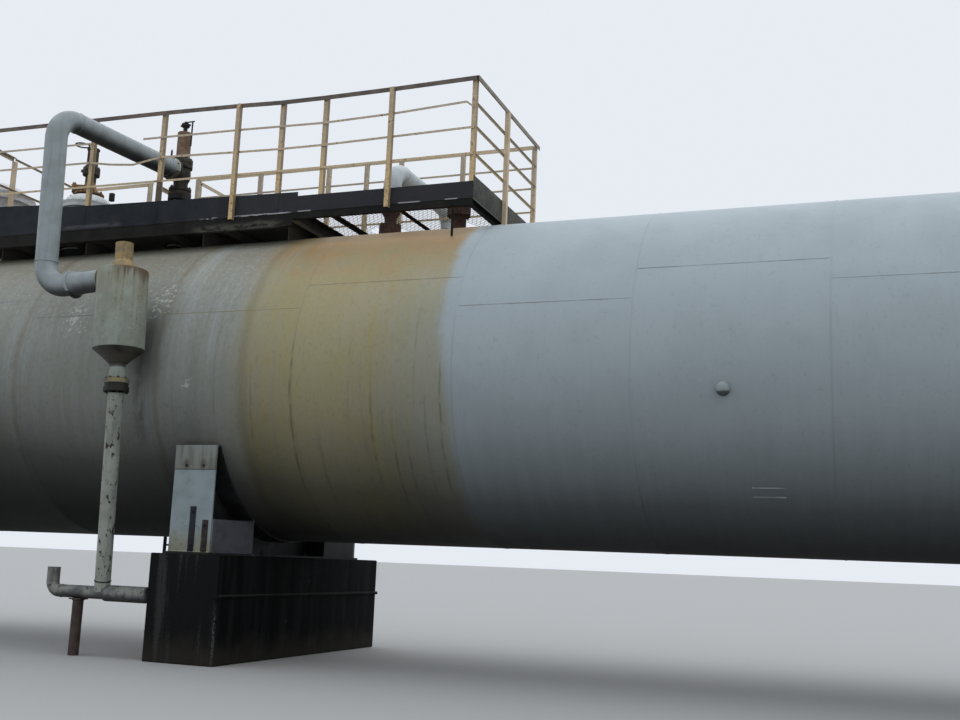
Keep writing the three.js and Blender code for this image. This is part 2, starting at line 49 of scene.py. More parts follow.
# Tank
AXIS = 2.5
RADIUS = 1.524
WALL = 0.024
HALF = 12.0
COURSE = 1.5
SECTION = 6.0
SKIRT = 0.04
DISH = 0.762
DISH_RINGS = 28
# A weld bead stands proud of the shell; its top and its foot are half widths
BEAD, BEAD_TOP, BEAD_FOOT = 0.0022, 0.006, 0.014

# Saddles and piers
SADDLE_X = 6.995
SADDLE_HALF = 0.216
PLATE_FACE = 1.408
COVER_T = 0.006
COVER_BOLTS = (-0.085, 0.095)
BASE_TOP = 0.8334
PIER_X = 6.925
PIER_HALF, PIER_REACH, PIER_TOP = 0.36, 1.555, 0.815

# Platform
DECK = 4.12
DECK_HALF = 0.905
DECK_LEFT, DECK_JOIN, DECK_RIGHT = -10.62, -6.48, -4.62
TOE_LINE, TOE_T = 0.9073, 0.004
LADDER_X = -9.22

# Railings
POST, POST_T = 0.045, 0.005
RAIL, RAIL_T = 0.022, 0.004
POST_FOOT = 4.1203
RAIL_LINE = 0.907
INNER_POST, OUTER_POST = 0.8825, 0.9321
TOP_RAIL = 5.24
MID_RAILS = (4.992, 4.764, 4.504)

# Fittings; the drum leans a little from its place at the height of its top rim
DOME_X, MANHOLE_X, VALVE_X, RISER_X, SPARE_X = -11.14, -9.715, -8.472, -5.87, -5.12
LINE_Y = -1.8
DRUM_LEAN = math.radians(2.5)
DRUM_X, DRUM_RIM = -7.675, 3.34
HEADER_Y, HEADER_Z = -1.5, 0.44
BOSS = Vector((-2.286, -1.44, 2.22))

UP, DOWN, NEARWARD = (0, 0, 1), (0, 0, -1), (0, -1, 0)


# Camera, floor and light


def make_camera():
    """A camera beside the tank, turned, tipped up and rolled by angles in radians."""
    yaw, pitch, roll = 0.367092, 0.175091, 0.039316
    focal_pixels, picture_pixels = 1136.04, 960
    forward = Vector((-math.sin(yaw) * math.cos(pitch), math.cos(yaw) * math.cos(pitch), math.sin(pitch)))
    side = Vector((math.cos(yaw), math.sin(yaw), 0.0))
    up = side.cross(forward)
    right = side * math.cos(roll) + up * math.sin(roll)
    above = up * math.cos(roll) - side * math.sin(roll)
    data = bpy.data.cameras.new("camera")
    data.sensor_width = 36.0
    data.lens = data.sensor_width * focal_pixels / picture_pixels
    camera = bpy.data.objects.new("camera", data)
    place = Matrix.Translation((MID - 0.964, -10.0668, LIFT + 0.852))
    camera.matrix_world = place @ Matrix((right, above, -forward)).transposed().to_4x4()
    bpy.context.scene.collection.objects.link(camera)
    bpy.context.scene.camera = camera


def make_light():
    """A pale sky and one wide, soft lamp above."""
    world = bpy.data.worlds.new("studio")
    world.use_nodes = True
    world.node_tree.nodes["Background"].inputs["Color"].default_value = (0.80, 0.84, 0.90, 1)
    world.node_tree.nodes["Background"].inputs["Strength"].default_value = 1.0
    bpy.context.scene.world = world
    lamp = bpy.data.lights.new("soft_top", "SUN")
    lamp.energy = 1.3
    lamp.angle = math.radians(95)
    lamp.color = (0.96, 0.98, 1.0)
    holder = bpy.data.objects.new("soft_top", lamp)
    holder.rotation_euler = (math.radians(-15), math.radians(4), 0)
    bpy.context.scene.collection.objects.link(holder)
    bpy.context.scene.view_settings.view_transform = "Standard"


# Shader maths


class Wire:
    """One output of a finish's nodes. Sums on it add the nodes that do them."""

    def __init__(self, finish, socket):
        self.finish = finish
        self.socket = socket

    def maths(self, operation, first, second=None):
        return self.finish.node("ShaderNodeMath", {"operation": operation}, {0: first, 1: second})

    def __add__(self, other):
        return self.maths("ADD", self, other)

    def __radd__(self, other):
        return self.maths("ADD", other, self)

    def __sub__(self, other):
        return self.maths("SUBTRACT", self, other)

    def __rsub__(self, other):
        return self.maths("SUBTRACT", other, self)

    def __mul__(self, other):
        return self.maths("MULTIPLY", self, other)

    def __rmul__(self, other):
        return self.maths("MULTIPLY", other, self)

    def __truediv__(self, other):
        return self.maths("DIVIDE", self, other)

    def __neg__(self):
        return self.maths("MULTIPLY", self, -1.0)

    def __abs__(self):
        return self.maths("ABSOLUTE", self)

    def atop(self, other):
        return self.maths("MAXIMUM", self, other)

    def above(self, value):
        return self.maths("GREATER_THAN", self, value)

    def capped(self):
        return self.maths("MINIMUM", self.maths("MAXIMUM", self, 0.0), 1.0)

    def wave(self, size):
        """A pattern's swing about its middle, as a distance."""
        return (self - 0.5) * size

    def rise(self, low, high):
        """0 below low, 1 above high, and smooth between them."""
        ends = {0: self, 1: low, 2: high}
        return self.finish.node("ShaderNodeMapRange", {"interpolation_type": "SMOOTHSTEP"}, ends)

    def fall(self, low, high):
        """1 below low, 0 above high, and smooth between them."""
        return 1 - self.rise(low, high)

    def near(self, value, reach):
        """1 at value, falling to 0 at reach from it."""
        return abs(self - value).fall(0.0, reach)

    def between(self, low, high, edge):
        return self.rise(low - edge, low + edge) * self.fall(high - edge, high + edge)


def fill_ramp(ramp, stops):
    """Gives a ramp its greys; each stop is a place and a share of white."""
    while len(ramp.elements) < len(stops):
        ramp.elements.new(1.0)
    for element, (place, share) in zip(ramp.elements, stops):
        element.position = place
        element.color = (share, share, share, 1.0)


class Finish:
    """A painted or rusted surface, mixed from nodes."""

    def __init__(self, name):
        self.material = bpy.data.materials.new(name)
        self.material.use_nodes = True
        self.tree = self.material.node_tree
        self.shader = self.tree.nodes["Principled BSDF"]
        there = self.node("ShaderNodeTexCoord", {}, {}, "Object")
        shift = {0: there, 1: (MID, 0.0, LIFT)}
        self.here = self.node("ShaderNodeVectorMath", {"operation": "SUBTRACT"}, shift)
        self.x, self.y, self.z = (self.part(self.here, letter) for letter in "XYZ")

    def node(self, kind, settings, inputs, output=0):
        """Adds a node: its settings first, then the values or links of its sockets."""
        made = self.tree.nodes.new(kind)
        for key, value in settings.items():
            if key == "stops":
                fill_ramp(made.color_ramp, value)
            else:
                setattr(made, key, value)
        for key, value in inputs.items():
            if isinstance(value, Wire):
                self.tree.links.new(value.socket, made.inputs[key])
            elif value is not None:
                made.inputs[key].default_value = value
        return Wire(self, made.outputs[output])

    def vector(self, x, y, z):
        return self.node("ShaderNodeCombineXYZ", {}, {0: x, 1: y, 2: z})

    def part(self, vector, letter):
        return self.node("ShaderNodeSeparateXYZ", {}, {0: vector}, letter)

    def length(self, x, y, z):
        return self.node("ShaderNodeVectorMath", {"operation": "LENGTH"}, {0: self.vector(x, y, z)}, "Value")

    def facing(self, letter):
        """How far the surface faces along an axis, from -1 to 1."""
        return self.part(self.node("ShaderNodeNewGeometry", {}, {}, "Normal"), letter)

    def noise(self, where=None, scale=1.0, detail=3.0, rough=0.5):
        pegs = {"Vector": where or self.here, "Scale": scale, "Detail": detail, "Roughness": rough}
        return self.node("ShaderNodeTexNoise", {}, pegs, "Fac")

    def streaks(self, across, down, detail=3.0, rough=0.6, scale=1.0):
        """Noise drawn out down the surface, as water leaves it."""
        where = self.vector(self.x * across, self.y * across, self.z * down)
        return self.noise(where, scale, detail, rough)

    def cells(self, where, scale):
        return self.node("ShaderNodeTexVoronoi", {}, {"Vector": where, "Scale": scale}, "Distance")

    def mix(self, first, second, share):
        under, over = (tone if isinstance(tone, Wire) else (*tone, 1.0) for tone in (first, second))
        return self.node("ShaderNodeMix", {"data_type": "RGBA"}, {0: share, 6: under, 7: over}, 2)

    def layers(self, colour, *coats):
        """Lays coats of paint or dirt over a colour, each with the share that it covers."""
        for tone, share in coats:
            colour = self.mix(colour, tone, share)
        return colour

    def done(self, colour, rough, height, depth, spec=0.35):
        bump = self.node("ShaderNodeBump", {}, {"Height": height, "Distance": depth, "Strength": 0.6})
        for socket, wire in (("Base Color", colour), ("Roughness", rough), ("Normal", bump)):
            self.tree.links.new(wire.socket, self.shader.inputs[socket])
        self.shader.inputs["Specular IOR Level"].default_value = spec
        return self.material


# The tank's paint

RUST = (0.16, 0.065, 0.028)
# The share of painted shade and grime, by the share of the way from the top of the tank to its underside
SHADE_AND_GRIME = [(0.36, 0.0), (0.50, 0.11), (0.62, 0.32), (0.70, 0.56), (0.78, 0.80), (0.88, 0.93), (0.95, 0.99)]
# Dark traces where water has run down: place along the tank, start and end round it, width, strength. The
# wide one at -7.60 is a painted shadow beside the drum.
DRIPS = [
    (-6.015, 0.46, 0.76, 0.020, 0.45), (-5.24, 0.52, 0.72, 0.024, 0.35), (-7.60, 0.40, 0.64, 0.120, 0.45),
    (-5.05, 0.62, 0.80, 0.020, 0.35), (-4.60, 0.50, 0.74, 0.018, 0.40), (-4.92, 0.66, 0.84, 0.018, 0.30),
    (-5.75, 0.64, 0.78, 0.016, 0.25), (-4.74, 0.57, 0.76, 0.016, 0.25), (-6.42, 0.52, 0.68, 0.020, 0.25),
    (-5.45, 0.44, 0.60, 0.014, 0.20), (-4.84, 0.40, 0.56, 0.014, 0.20), (-6.80, 0.42, 0.60, 0.020, 0.25),
]
# Places where the paint has chipped off the near side: along the tank, height and reach
CHIPPED = [(-8.48, 2.99, 0.20), (-7.54, 3.16, 0.20), (-7.10, 2.30, 0.06), (-7.45, 3.935, 0.07)]


class ShellFinish(Finish):
    """The shell's surface, with the patterns that its paints share."""

    def __init__(self, name):
        super().__init__(name)
        self.turn = self.y.maths("ARCTAN2", self.y, self.z - AXIS)
        # Water runs round the cylinder, but straight down the face of a dished end
        on_end = abs(self.x).above(HALF)
        slope = self.facing("Z")
        down = abs(self.turn) / math.pi
        self.down = down + (slope.maths("ARCCOSINE", slope) / math.pi - down) * on_end
        along = self.x + (self.y - self.x) * on_end
        around = self.turn + (AXIS - self.z - self.turn) * on_end
        self.runs = self.noise(self.vector(along * 11, around * 0.9, 0.0), 1.0, 5.0, 0.65)
        self.fine = self.noise(self.vector(along * 46, around * 1.6, 3.0), 1.0, 3.0, 0.6)
        self.broad = self.noise(self.vector(along * 1.6, around * 1.3, 7.0))
        self.brown = self.noise(self.vector(along * 2.6, around * 0.7, 11.0))
        self.cloud = self.noise(None, 1.7, 4.0, 0.55)
        self.mottle = self.noise(None, 5.0, 6.0, 0.65)
        self.grain = self.noise(None, 60.0, 2.0)
        self.flecks = self.noise(self.vector(self.x, self.y, self.z * 0.6), 34.0, 4.0, 0.7)
        self.sway = self.mottle.wave(0.10) + self.runs.wave(0.06)
        self.place = self.x + self.sway


def fresh_paint(f):
    return f.layers(
        f.mix((0.331, 0.381, 0.401), (0.356, 0.409, 0.430), f.cloud.rise(0.38, 0.62)),
        ((0.265, 0.318, 0.345), f.fine.rise(0.55, 0.85) * 0.25),
        ((0.250, 0.290, 0.305), f.mottle.rise(0.56, 0.74) * 0.20),
        ((0.430, 0.480, 0.490), f.flecks.rise(0.60, 0.70) * 0.30),
        ((0.210, 0.240, 0.250), f.flecks.fall(0.33, 0.41) * 0.30),
    )


def old_paint(f):
    """Grey-green paint, weathered in runs and browner near the crown."""
    blend = (f.runs * 0.45 + f.mottle * 0.3 + f.broad * 0.25).rise(0.38, 0.62)
    crown = (f.down + f.mottle.wave(0.15)).fall(0.22, 0.36)
    pale_run = f.place.near(-7.22, 0.18) * f.down.fall(0.40, 0.66)
    colour = f.layers(
        f.mix((0.240, 0.248, 0.215), (0.285, 0.305, 0.282), blend),
        ((0.320, 0.352, 0.345), (f.runs * 0.5 + f.broad * 0.5).rise(0.54, 0.68) * 0.50),
        ((0.205, 0.180, 0.130), (f.fine * 0.35 + f.mottle * 0.65).rise(0.52, 0.64) * 0.35),
        ((0.195, 0.175, 0.125), f.brown.rise(0.56, 0.70) * 0.35),
        ((0.270, 0.240, 0.170), crown * 0.55),
        ((0.350, 0.378, 0.365), pale_run * (0.25 + 0.5 * f.runs.rise(0.40, 0.60))),
        ((0.400, 0.425, 0.400), f.flecks.rise(0.54, 0.66) * f.down.fall(0.34, 0.50) * 0.45),
        ((0.150, 0.148, 0.120), f.flecks.fall(0.36, 0.46) * 0.30),
    )
    for dark_run in (-7.43, -9.05):
        colour = f.mix(colour, (0.170, 0.140, 0.095), f.place.near(dark_run, 0.07) * 0.45)
    return colour


def rust_stain(f, fresh):
    """Orange rust at the crown and olive below. It breaks into runs at its left edge, and to the right
    the fresh paint shows through."""
    orange = f.mix((0.335, 0.222, 0.100), (0.290, 0.228, 0.122), f.mottle.rise(0.36, 0.64))
    orange = f.mix(orange, (0.270, 0.245, 0.125), f.cloud.rise(0.50, 0.66) * 0.7)
    drift = (f.runs * 0.4 + f.cloud * 0.6).rise(0.40, 0.60)
    olive = f.mix((0.335, 0.295, 0.140), (0.350, 0.312, 0.195), drift)
    crown = (f.down + f.mottle.wave(0.06)).fall(0.20, 0.27)
    greyer = (f.x + f.runs.wave(0.7)).rise(-5.6, -4.7) * f.down.rise(0.25, 0.5)
    pale_band = f.place.near(-5.80, 0.50) * f.down.rise(0.25, 0.40)
    broken = f.place.fall(-6.45, -5.95) * (f.runs * 0.6 + f.fine * 0.4).rise(0.44, 0.58)
    veil = (f.x + f.runs.wave(0.5)).rise(-5.35, -4.70) * f.down.rise(0.26, 0.36)
    return f.layers(
        f.mix(orange, olive, (f.down + f.mottle.wave(0.14)).rise(0.22, 0.40)),
        ((0.330, 0.195, 0.080), crown * 0.6),
        ((0.255, 0.250, 0.190), greyer * 0.6),
        ((0.350, 0.325, 0.235), pale_band * 0.35),
        ((0.385, 0.330, 0.205), f.fine.rise(0.56, 0.78) * 0.25),
        ((0.205, 0.180, 0.095), (f.runs * 0.5 + f.fine * 0.5).rise(0.54, 0.68) * 0.35),
        ((0.285, 0.292, 0.225), broken * 0.65),
        ((0.220, 0.165, 0.085), (f.mottle * 0.7 + f.grain * 0.3).rise(0.57, 0.68) * 0.25),
        ((0.420, 0.370, 0.240), f.flecks.rise(0.56, 0.68) * 0.22),
        ((0.170, 0.150, 0.085), f.flecks.fall(0.34, 0.45) * 0.25),
        (fresh, veil * 0.25),
    )


def add_drips(f, colour):
    broken = f.noise(f.vector(f.x * 14, f.turn * 9, 17.0), 1.0, 3.0, 0.6).rise(0.40, 0.56)
    strength = 0.35 + f.fine * broken * 1.5
    line = f.x + f.down.wave(0.10) + f.sway * 0.35
    for place, start, stop, width, depth in DRIPS:
        trace = line.near(place, width) * f.down.between(start, stop, 0.05)
        colour = f.mix(colour, (0.040, 0.040, 0.028), trace * depth * strength)
    return colour


def add_chips(f, colour):
    flakes = f.noise(None, 24.0, 5.0, 0.7)
    near_side = f.y.fall(-0.4, -0.2)
    for place, height, reach in CHIPPED:
        away = f.length(f.x - place, 0.0, (f.z - height) * 0.7)
        chip = (away + f.mottle.wave(0.25)).fall(reach * 0.3, reach)
        chip = chip * (flakes - (away - reach * 0.4) * 0.5).rise(0.52, 0.58)
        colour = f.mix(colour, (0.50, 0.51, 0.47), chip * near_side * 0.9)
    return colour


def shade_and_grime_on(f):
    """Painted shade and grime thicken down the sides, and sooner on the old paint; the near-black mix stands
    in for the shade under the tank.
    """
    lead = f.place.fall(-6.75, -5.85) * 0.058 + f.place.fall(-9.6, -8.0) * 0.045
    lead = lead - f.place.near(-6.75, 0.35) * 0.055 + f.place.fall(-5.0, -4.5) * 0.026
    lead = lead + f.down.rise(0.60, 0.76).wave(0.04) * f.place.fall(-7.6, -7.0)
    level = f.down + lead + f.runs.wave(0.035) + f.cloud.wave(0.03)
    return f.node("ShaderNodeValToRGB", {"stops": SHADE_AND_GRIME}, {0: level})


def shell_paint():
    """Old paint to the left, a rust stain, and fresh paint to the right."""
    f = ShellFinish("shell_paint")
    fresh = fresh_paint(f)
    right_edge = -4.66 + f.down.rise(0.42, 0.58) * 0.12
    stained = (f.x + f.sway * 1.3).rise(-6.76, -6.38) * (f.x - right_edge + f.sway * 1.4).fall(-0.07, 0.09)
    colour = f.layers(
        old_paint(f),
        (fresh, f.place.rise(-4.72, -4.60)),
        (rust_stain(f, fresh), stained),
        ((0.200, 0.160, 0.080), (f.x + f.sway * 0.5).near(-6.515, 0.085) * 0.40),
    )
    colour = add_drips(f, colour)
    # A painted shadow of the drum on the shell to its right
    drum_shadow = (f.x + f.sway * 0.6).near(-7.56, 0.27) * f.down.between(0.400, 0.530, 0.045)
    colour = f.mix(colour, (0.052, 0.054, 0.046), drum_shadow * 0.66)
    # A ring seam lies at each whole course; the added courses keep the count above zero
    courses = f.x / COURSE + 100.5
    seam = abs(courses.maths("FRACT", courses) - 0.5) * COURSE
    colour = f.mix(colour, (0.12, 0.13, 0.12), seam.fall(0.003, 0.016) * 0.20 * f.runs.rise(0.36, 0.60))
    colour = add_chips(f, colour)
    # The tank darkens toward its underside: painted shade, with some grime
    shade_and_grime = shade_and_grime_on(f)
    colour = f.mix(colour, (0.0100, 0.0102, 0.0085), shade_and_grime)
    return f.done(colour, 0.50 + 0.20 * f.mottle + 0.25 * shade_and_grime, f.mottle * 0.6 + f.grain * 0.4, 0.0012, 0.3)


# Other finishes


def scaled(colour, share):
    return [channel * share for channel in colour]


def coat(
    name, base, faded, rust, amount, streaks, rough, size=1.0, specks=0.0, spec=0.35, shade=None, under=0.0
):
    """Old paint: patches of a faded tone, runs of dirt, rust breaking through and chipped specks.
    Shade is a height, a colour and a share: below the height, that colour lies over the paint; it serves as
    dirt on some paints, as a worn edge on one and as painted shade on others.
    Under is how much soot and painted shade darken the faces that look down."""
    f = Finish(name)
    mottle = f.noise(None, 6.0 * size, 5.0, 0.6)
    patch = f.noise(None, 17.0 * size, 4.0, 0.65)
    grain = f.noise(None, 90.0, 2.0)
    runs = f.streaks(22, 1.1, scale=size)
    eaten = (patch * 0.7 + mottle * 0.3).rise(0.72 - amount * 0.5, 0.80 - amount * 0.5)
    colour = f.layers(
        f.mix(base, faded, mottle.rise(0.38, 0.62)),
        (scaled(base, 0.45), runs.rise(0.52, 0.75) * streaks),
        (rust, eaten),
        (scaled(rust, 0.5), eaten * grain.rise(0.5, 0.7) * 0.6),
    )
    if specks:
        chip = f.streaks(38, 20, scale=size).rise(0.68 - specks * 0.1, 0.71 - specks * 0.1)
        colour = f.mix(colour, scaled(rust, 0.6), chip * patch.rise(0.40, 0.50))
    if shade:
        height, dirt_and_shade, share = shade
        below = (f.z + mottle.wave(0.03)).fall(height - 0.012, height + 0.004)
        colour = f.mix(colour, dirt_and_shade, below * share)
    # Faces that look down are darkened: soot and painted shade
    if under:
        soot_and_shade = (mottle.wave(0.3) - f.facing("Z")).rise(0.0, 0.85)
        colour = f.mix(colour, (0.020, 0.020, 0.018), soot_and_shade * under)
    height = patch * 0.5 + grain * 0.3 - eaten * 0.5
    return f.done(colour, rough + 0.25 * eaten + 0.1 * mottle, height, 0.0015, spec)


def saddle_paint():
    """Pale paint on the saddle's outer plates; all that is under the tank is dark with old dirt and painted
    shade.
    """
    f = Finish("saddle_paint")
    mottle = f.noise(None, 7.0, 5.0, 0.6)
    runs = f.streaks(30, 1.6)
    grain = f.noise(None, 80.0, 2.0)
    old = f.mix((0.195, 0.210, 0.195), (0.135, 0.142, 0.120), (runs * 0.6 + mottle * 0.4).rise(0.42, 0.62))
    foot = (f.z + runs.wave(0.25)).fall(0.86, 1.10)
    colour = f.layers(
        f.mix((0.245, 0.292, 0.305), (0.215, 0.260, 0.272), mottle.rise(0.4, 0.6)),
        (old, f.z.rise(1.56, 1.57)),
        ((0.235, 0.215, 0.120), foot * 0.65),
        ((0.09, 0.07, 0.05), runs.rise(0.62, 0.72) * foot * 0.7),
        (RUST, (mottle * 0.6 + grain * 0.4).rise(0.60, 0.66) * 0.5),
    )
    for offset in COVER_BOLTS:
        away = f.length(abs(f.x) - SADDLE_X - offset, 0.0, (f.z - 1.615) * 0.6)
        colour = f.mix(colour, (0.075, 0.060, 0.045), (away + mottle.wave(0.05)).fall(0.012, 0.045) * 0.75)
    chips = f.noise(None, 26.0, 3.0, 0.6).rise(0.64, 0.67) * (f.z + mottle.wave(0.3)).fall(0.95, 1.20)
    # A dark line under the cover plates' lower edge: their joint, with a painted shadow
    colour = f.layers(
        colour,
        ((0.030, 0.030, 0.028), f.z.near(1.5655, 0.006) * 0.8),
        ((0.060, 0.050, 0.040), chips * 0.8),
        ((0.020, 0.019, 0.017), f.z.fall(0.833, 0.836)),
    )
    # Under the tank the inner rib and the low cover plate are bluish on the near side; the far side is
    # painted black as shade
    far = f.y.rise(0.0, 0.1)
    rib = abs(f.y).between(0.69, 0.73, 0.004)
    cover = abs(abs(f.x) - SADDLE_X + 0.213).fall(0.004, 0.006) * f.z.fall(1.125, 1.135)
    cover = cover * abs(f.y).rise(0.70, 0.708)
    bluish = f.mix((0.100, 0.104, 0.120), (0.070, 0.072, 0.075), mottle.rise(0.45, 0.7))
    hidden = f.layers(
        f.mix((0.026, 0.027, 0.028), (0.015, 0.015, 0.013), mottle.rise(0.4, 0.6)),
        (bluish, (rib + cover).capped() * (1 - far)),
        ((0.006, 0.006, 0.006), far * 0.85),
    )
    # The end plates' inner sides get the same dirt and painted shade; their normal points back to the middle
    # of the tank
    inward = (-f.facing("Y") * f.y).above(0.5)
    colour = f.mix(colour, hidden, abs(f.y).fall(1.375, 1.385).atop(inward))
    return f.done(colour, 0.5 + 0.2 * mottle, mottle * 0.5 + grain * 0.3, 0.0012, 0.2)


def pier_coat():
    """Black bitumen on concrete: dull vertical streaks, worn grey at the arrises with a painted highlight
    over it. The near face is painted lighter as lit, and the bar's top has dust and a painted highlight.
    """
    f = Finish("pier_coat")
    runs = f.streaks(11, 0.8, 4.0)
    mottle = f.noise(None, 4.0, 5.0, 0.6)
    grain = f.noise(None, 45.0, 3.0, 0.6)
    # The near face is painted lighter, as painted light; its runs also show more there
    front = f.y.fall(-PIER_REACH, 0.007 - PIER_REACH)
    corner = 1 - abs(abs(f.x) - PIER_X + PIER_HALF).above(0.02)
    # A light line down the near arris, worn concrete with a painted highlight, and a light band on the bar's
    # top, dust with a painted highlight
    arris = f.y.near(-PIER_REACH, 0.022) * corner * (f.z + mottle.wave(0.5)).fall(0.15, 0.45)
    ledge = f.z.between(0.464, 0.480, 0.002) * (1 - front)
    colour = f.layers(
        f.mix((0.0026, 0.0027, 0.0028), (0.0065, 0.0067, 0.0070), runs.rise(0.35, 0.70)),
        ((0.0120, 0.0122, 0.0120), front * 0.6),
        ((0.034, 0.036, 0.034), (runs * 0.8 + grain * 0.2).rise(0.50, 0.62) * (0.08 + 0.72 * front)),
        ((0.075, 0.075, 0.070), arris * grain.rise(0.40, 0.55) * 0.8),
        ((0.030, 0.030, 0.028), ledge * (0.4 + 0.6 * runs)),
        ((0.045, 0.040, 0.032), (f.z + mottle.wave(0.3)).fall(-0.10, 0.16) * 0.45),
    )
    sound = f.cells(f.vector(f.x, f.y, f.z * 0.35), 9.0).rise(0.06, 0.10)
    colour = f.mix((0.050, 0.050, 0.047), colour, (sound + mottle.rise(0.36, 0.40)).capped())
    return f.done(colour, 0.75 + 0.2 * mottle, mottle * 0.5 + grain * 0.5, 0.004, 0.06)


def rail_paint(name, green, blue):
    """Ochre paint over angle steel, brown where it has worn, lighter on the lower stretches of the posts.
    Green and blue are the shares of them that the weather has left in it."""

    def ochre(red, full_green, full_blue):
        return red, full_green * green, full_blue * blue

    f = Finish(name)
    patch = f.noise(None, 9.0, 5.0, 0.65)
    fine = f.noise(None, 48.0, 3.0, 0.6)
    low = (f.z + patch.wave(0.5)).fall(4.35, 4.95)
    rust = (patch * 0.5 + fine * 0.5).rise(0.55, 0.62)
    # The near posts are brown on their right side, and one of them is dark below
    near = f.y.fall(-0.870, -0.860)
    dark_foot = f.x.between(-8.12, -8.02, 0.004) * (f.z + patch.wave(0.1)).fall(4.46, 4.62)
    colour = f.layers(
        f.mix(ochre(0.410, 0.340, 0.250), ochre(0.540, 0.445, 0.305), patch.rise(0.40, 0.62)),
        (ochre(0.610, 0.460, 0.245), low * 0.75),
        (ochre(0.335, 0.318, 0.275), fine.rise(0.48, 0.60) * 0.45),
        ((0.120, 0.092, 0.064), f.facing("X").rise(0.5, 0.9) * near * 0.60),
        ((0.045, 0.036, 0.030), dark_foot * near * 0.9),
        ((0.150, 0.070, 0.035), rust * 0.7),
    )
    return f.done(colour, 0.55 + 0.25 * rust, fine * 0.5 + patch * 0.5, 0.001)


def toe_paint():
    """Slate paint, with painted glints along the lower edge in places."""
    f = Finish("toe_paint")
    mottle = f.noise(None, 5.0, 5.0, 0.6)
    patch = f.noise(f.vector(f.x, f.y, f.z * 4.0), 7.0, 4.0, 0.6)
    grain = f.noise(None, 70.0, 2.0)
    worn = f.x.between(-9.20, -8.50, 0.05) * f.z.between(4.098, 4.128, 0.020) * patch.rise(0.36, 0.54)
    # Painted glints along the lower edge
    painted_glint = f.x.between(-7.50, -6.52, 0.05) * patch.rise(0.44, 0.52)
    for start, stop in ((-6.42, -6.28), (-5.36, -5.14), (-4.89, -4.77)):
        painted_glint = painted_glint + f.x.between(start, stop, 0.012)
    edge = (f.z + grain.wave(0.008)).fall(4.091, 4.098) * painted_glint.capped()
    colour = f.layers(
        f.mix((0.0120, 0.0145, 0.0195), (0.0200, 0.0230, 0.0290), mottle.rise(0.38, 0.62)),
        ((0.034, 0.028, 0.024), patch.rise(0.58, 0.70) * 0.6),
        ((0.036, 0.034, 0.037), (f.x + mottle.wave(0.6)).rise(-7.5, -6.9) * 0.5),
        ((0.085, 0.088, 0.100), worn * 0.7),
        ((0.360, 0.365, 0.375), edge * 0.85),
    )
    return f.done(colour, 0.6 + 0.2 * mottle, mottle * 0.6 + grain * 0.4, 0.002, 0.2)


def beam_paint():
    """Black paint on the platform's frame, with dust on the lower edge of one stretch, and a pale tone,
    painted light, on what lies in the shade under the closed deck."""
    f = Finish("beam_paint")
    mottle = f.noise(None, 5.0, 5.0, 0.6)
    patch = f.noise(f.vector(f.x, f.y, f.z * 3.0), 9.0, 4.0, 0.6)
    grain = f.noise(None, 80.0, 2.0)
    dust = f.x.between(-7.58, -6.62, 0.10) * (f.z + mottle.wave(0.08)).fall(3.99, 4.04)
    # A pale tone is painted on what lies in the shade under the closed deck, as painted light
    painted_light_under_deck = abs(f.y).fall(0.850, 0.860) * f.z.fall(4.1165, 4.1180) * f.x.fall(-6.52, -6.50)
    colour = f.layers(
        f.mix((0.0095, 0.0094, 0.0085), (0.0170, 0.0162, 0.0140), mottle.rise(0.38, 0.62)),
        ((0.034, 0.025, 0.016), patch.rise(0.58, 0.68) * 0.5),
        ((0.085, 0.080, 0.066), dust * patch.rise(0.34, 0.56) * 0.8),
        ((0.200, 0.188, 0.160), painted_light_under_deck * (0.50 + 0.5 * mottle)),
    )
    return f.done(colour, 0.7 + 0.2 * mottle, mottle * 0.5 + grain * 0.4, 0.002, 0.15)


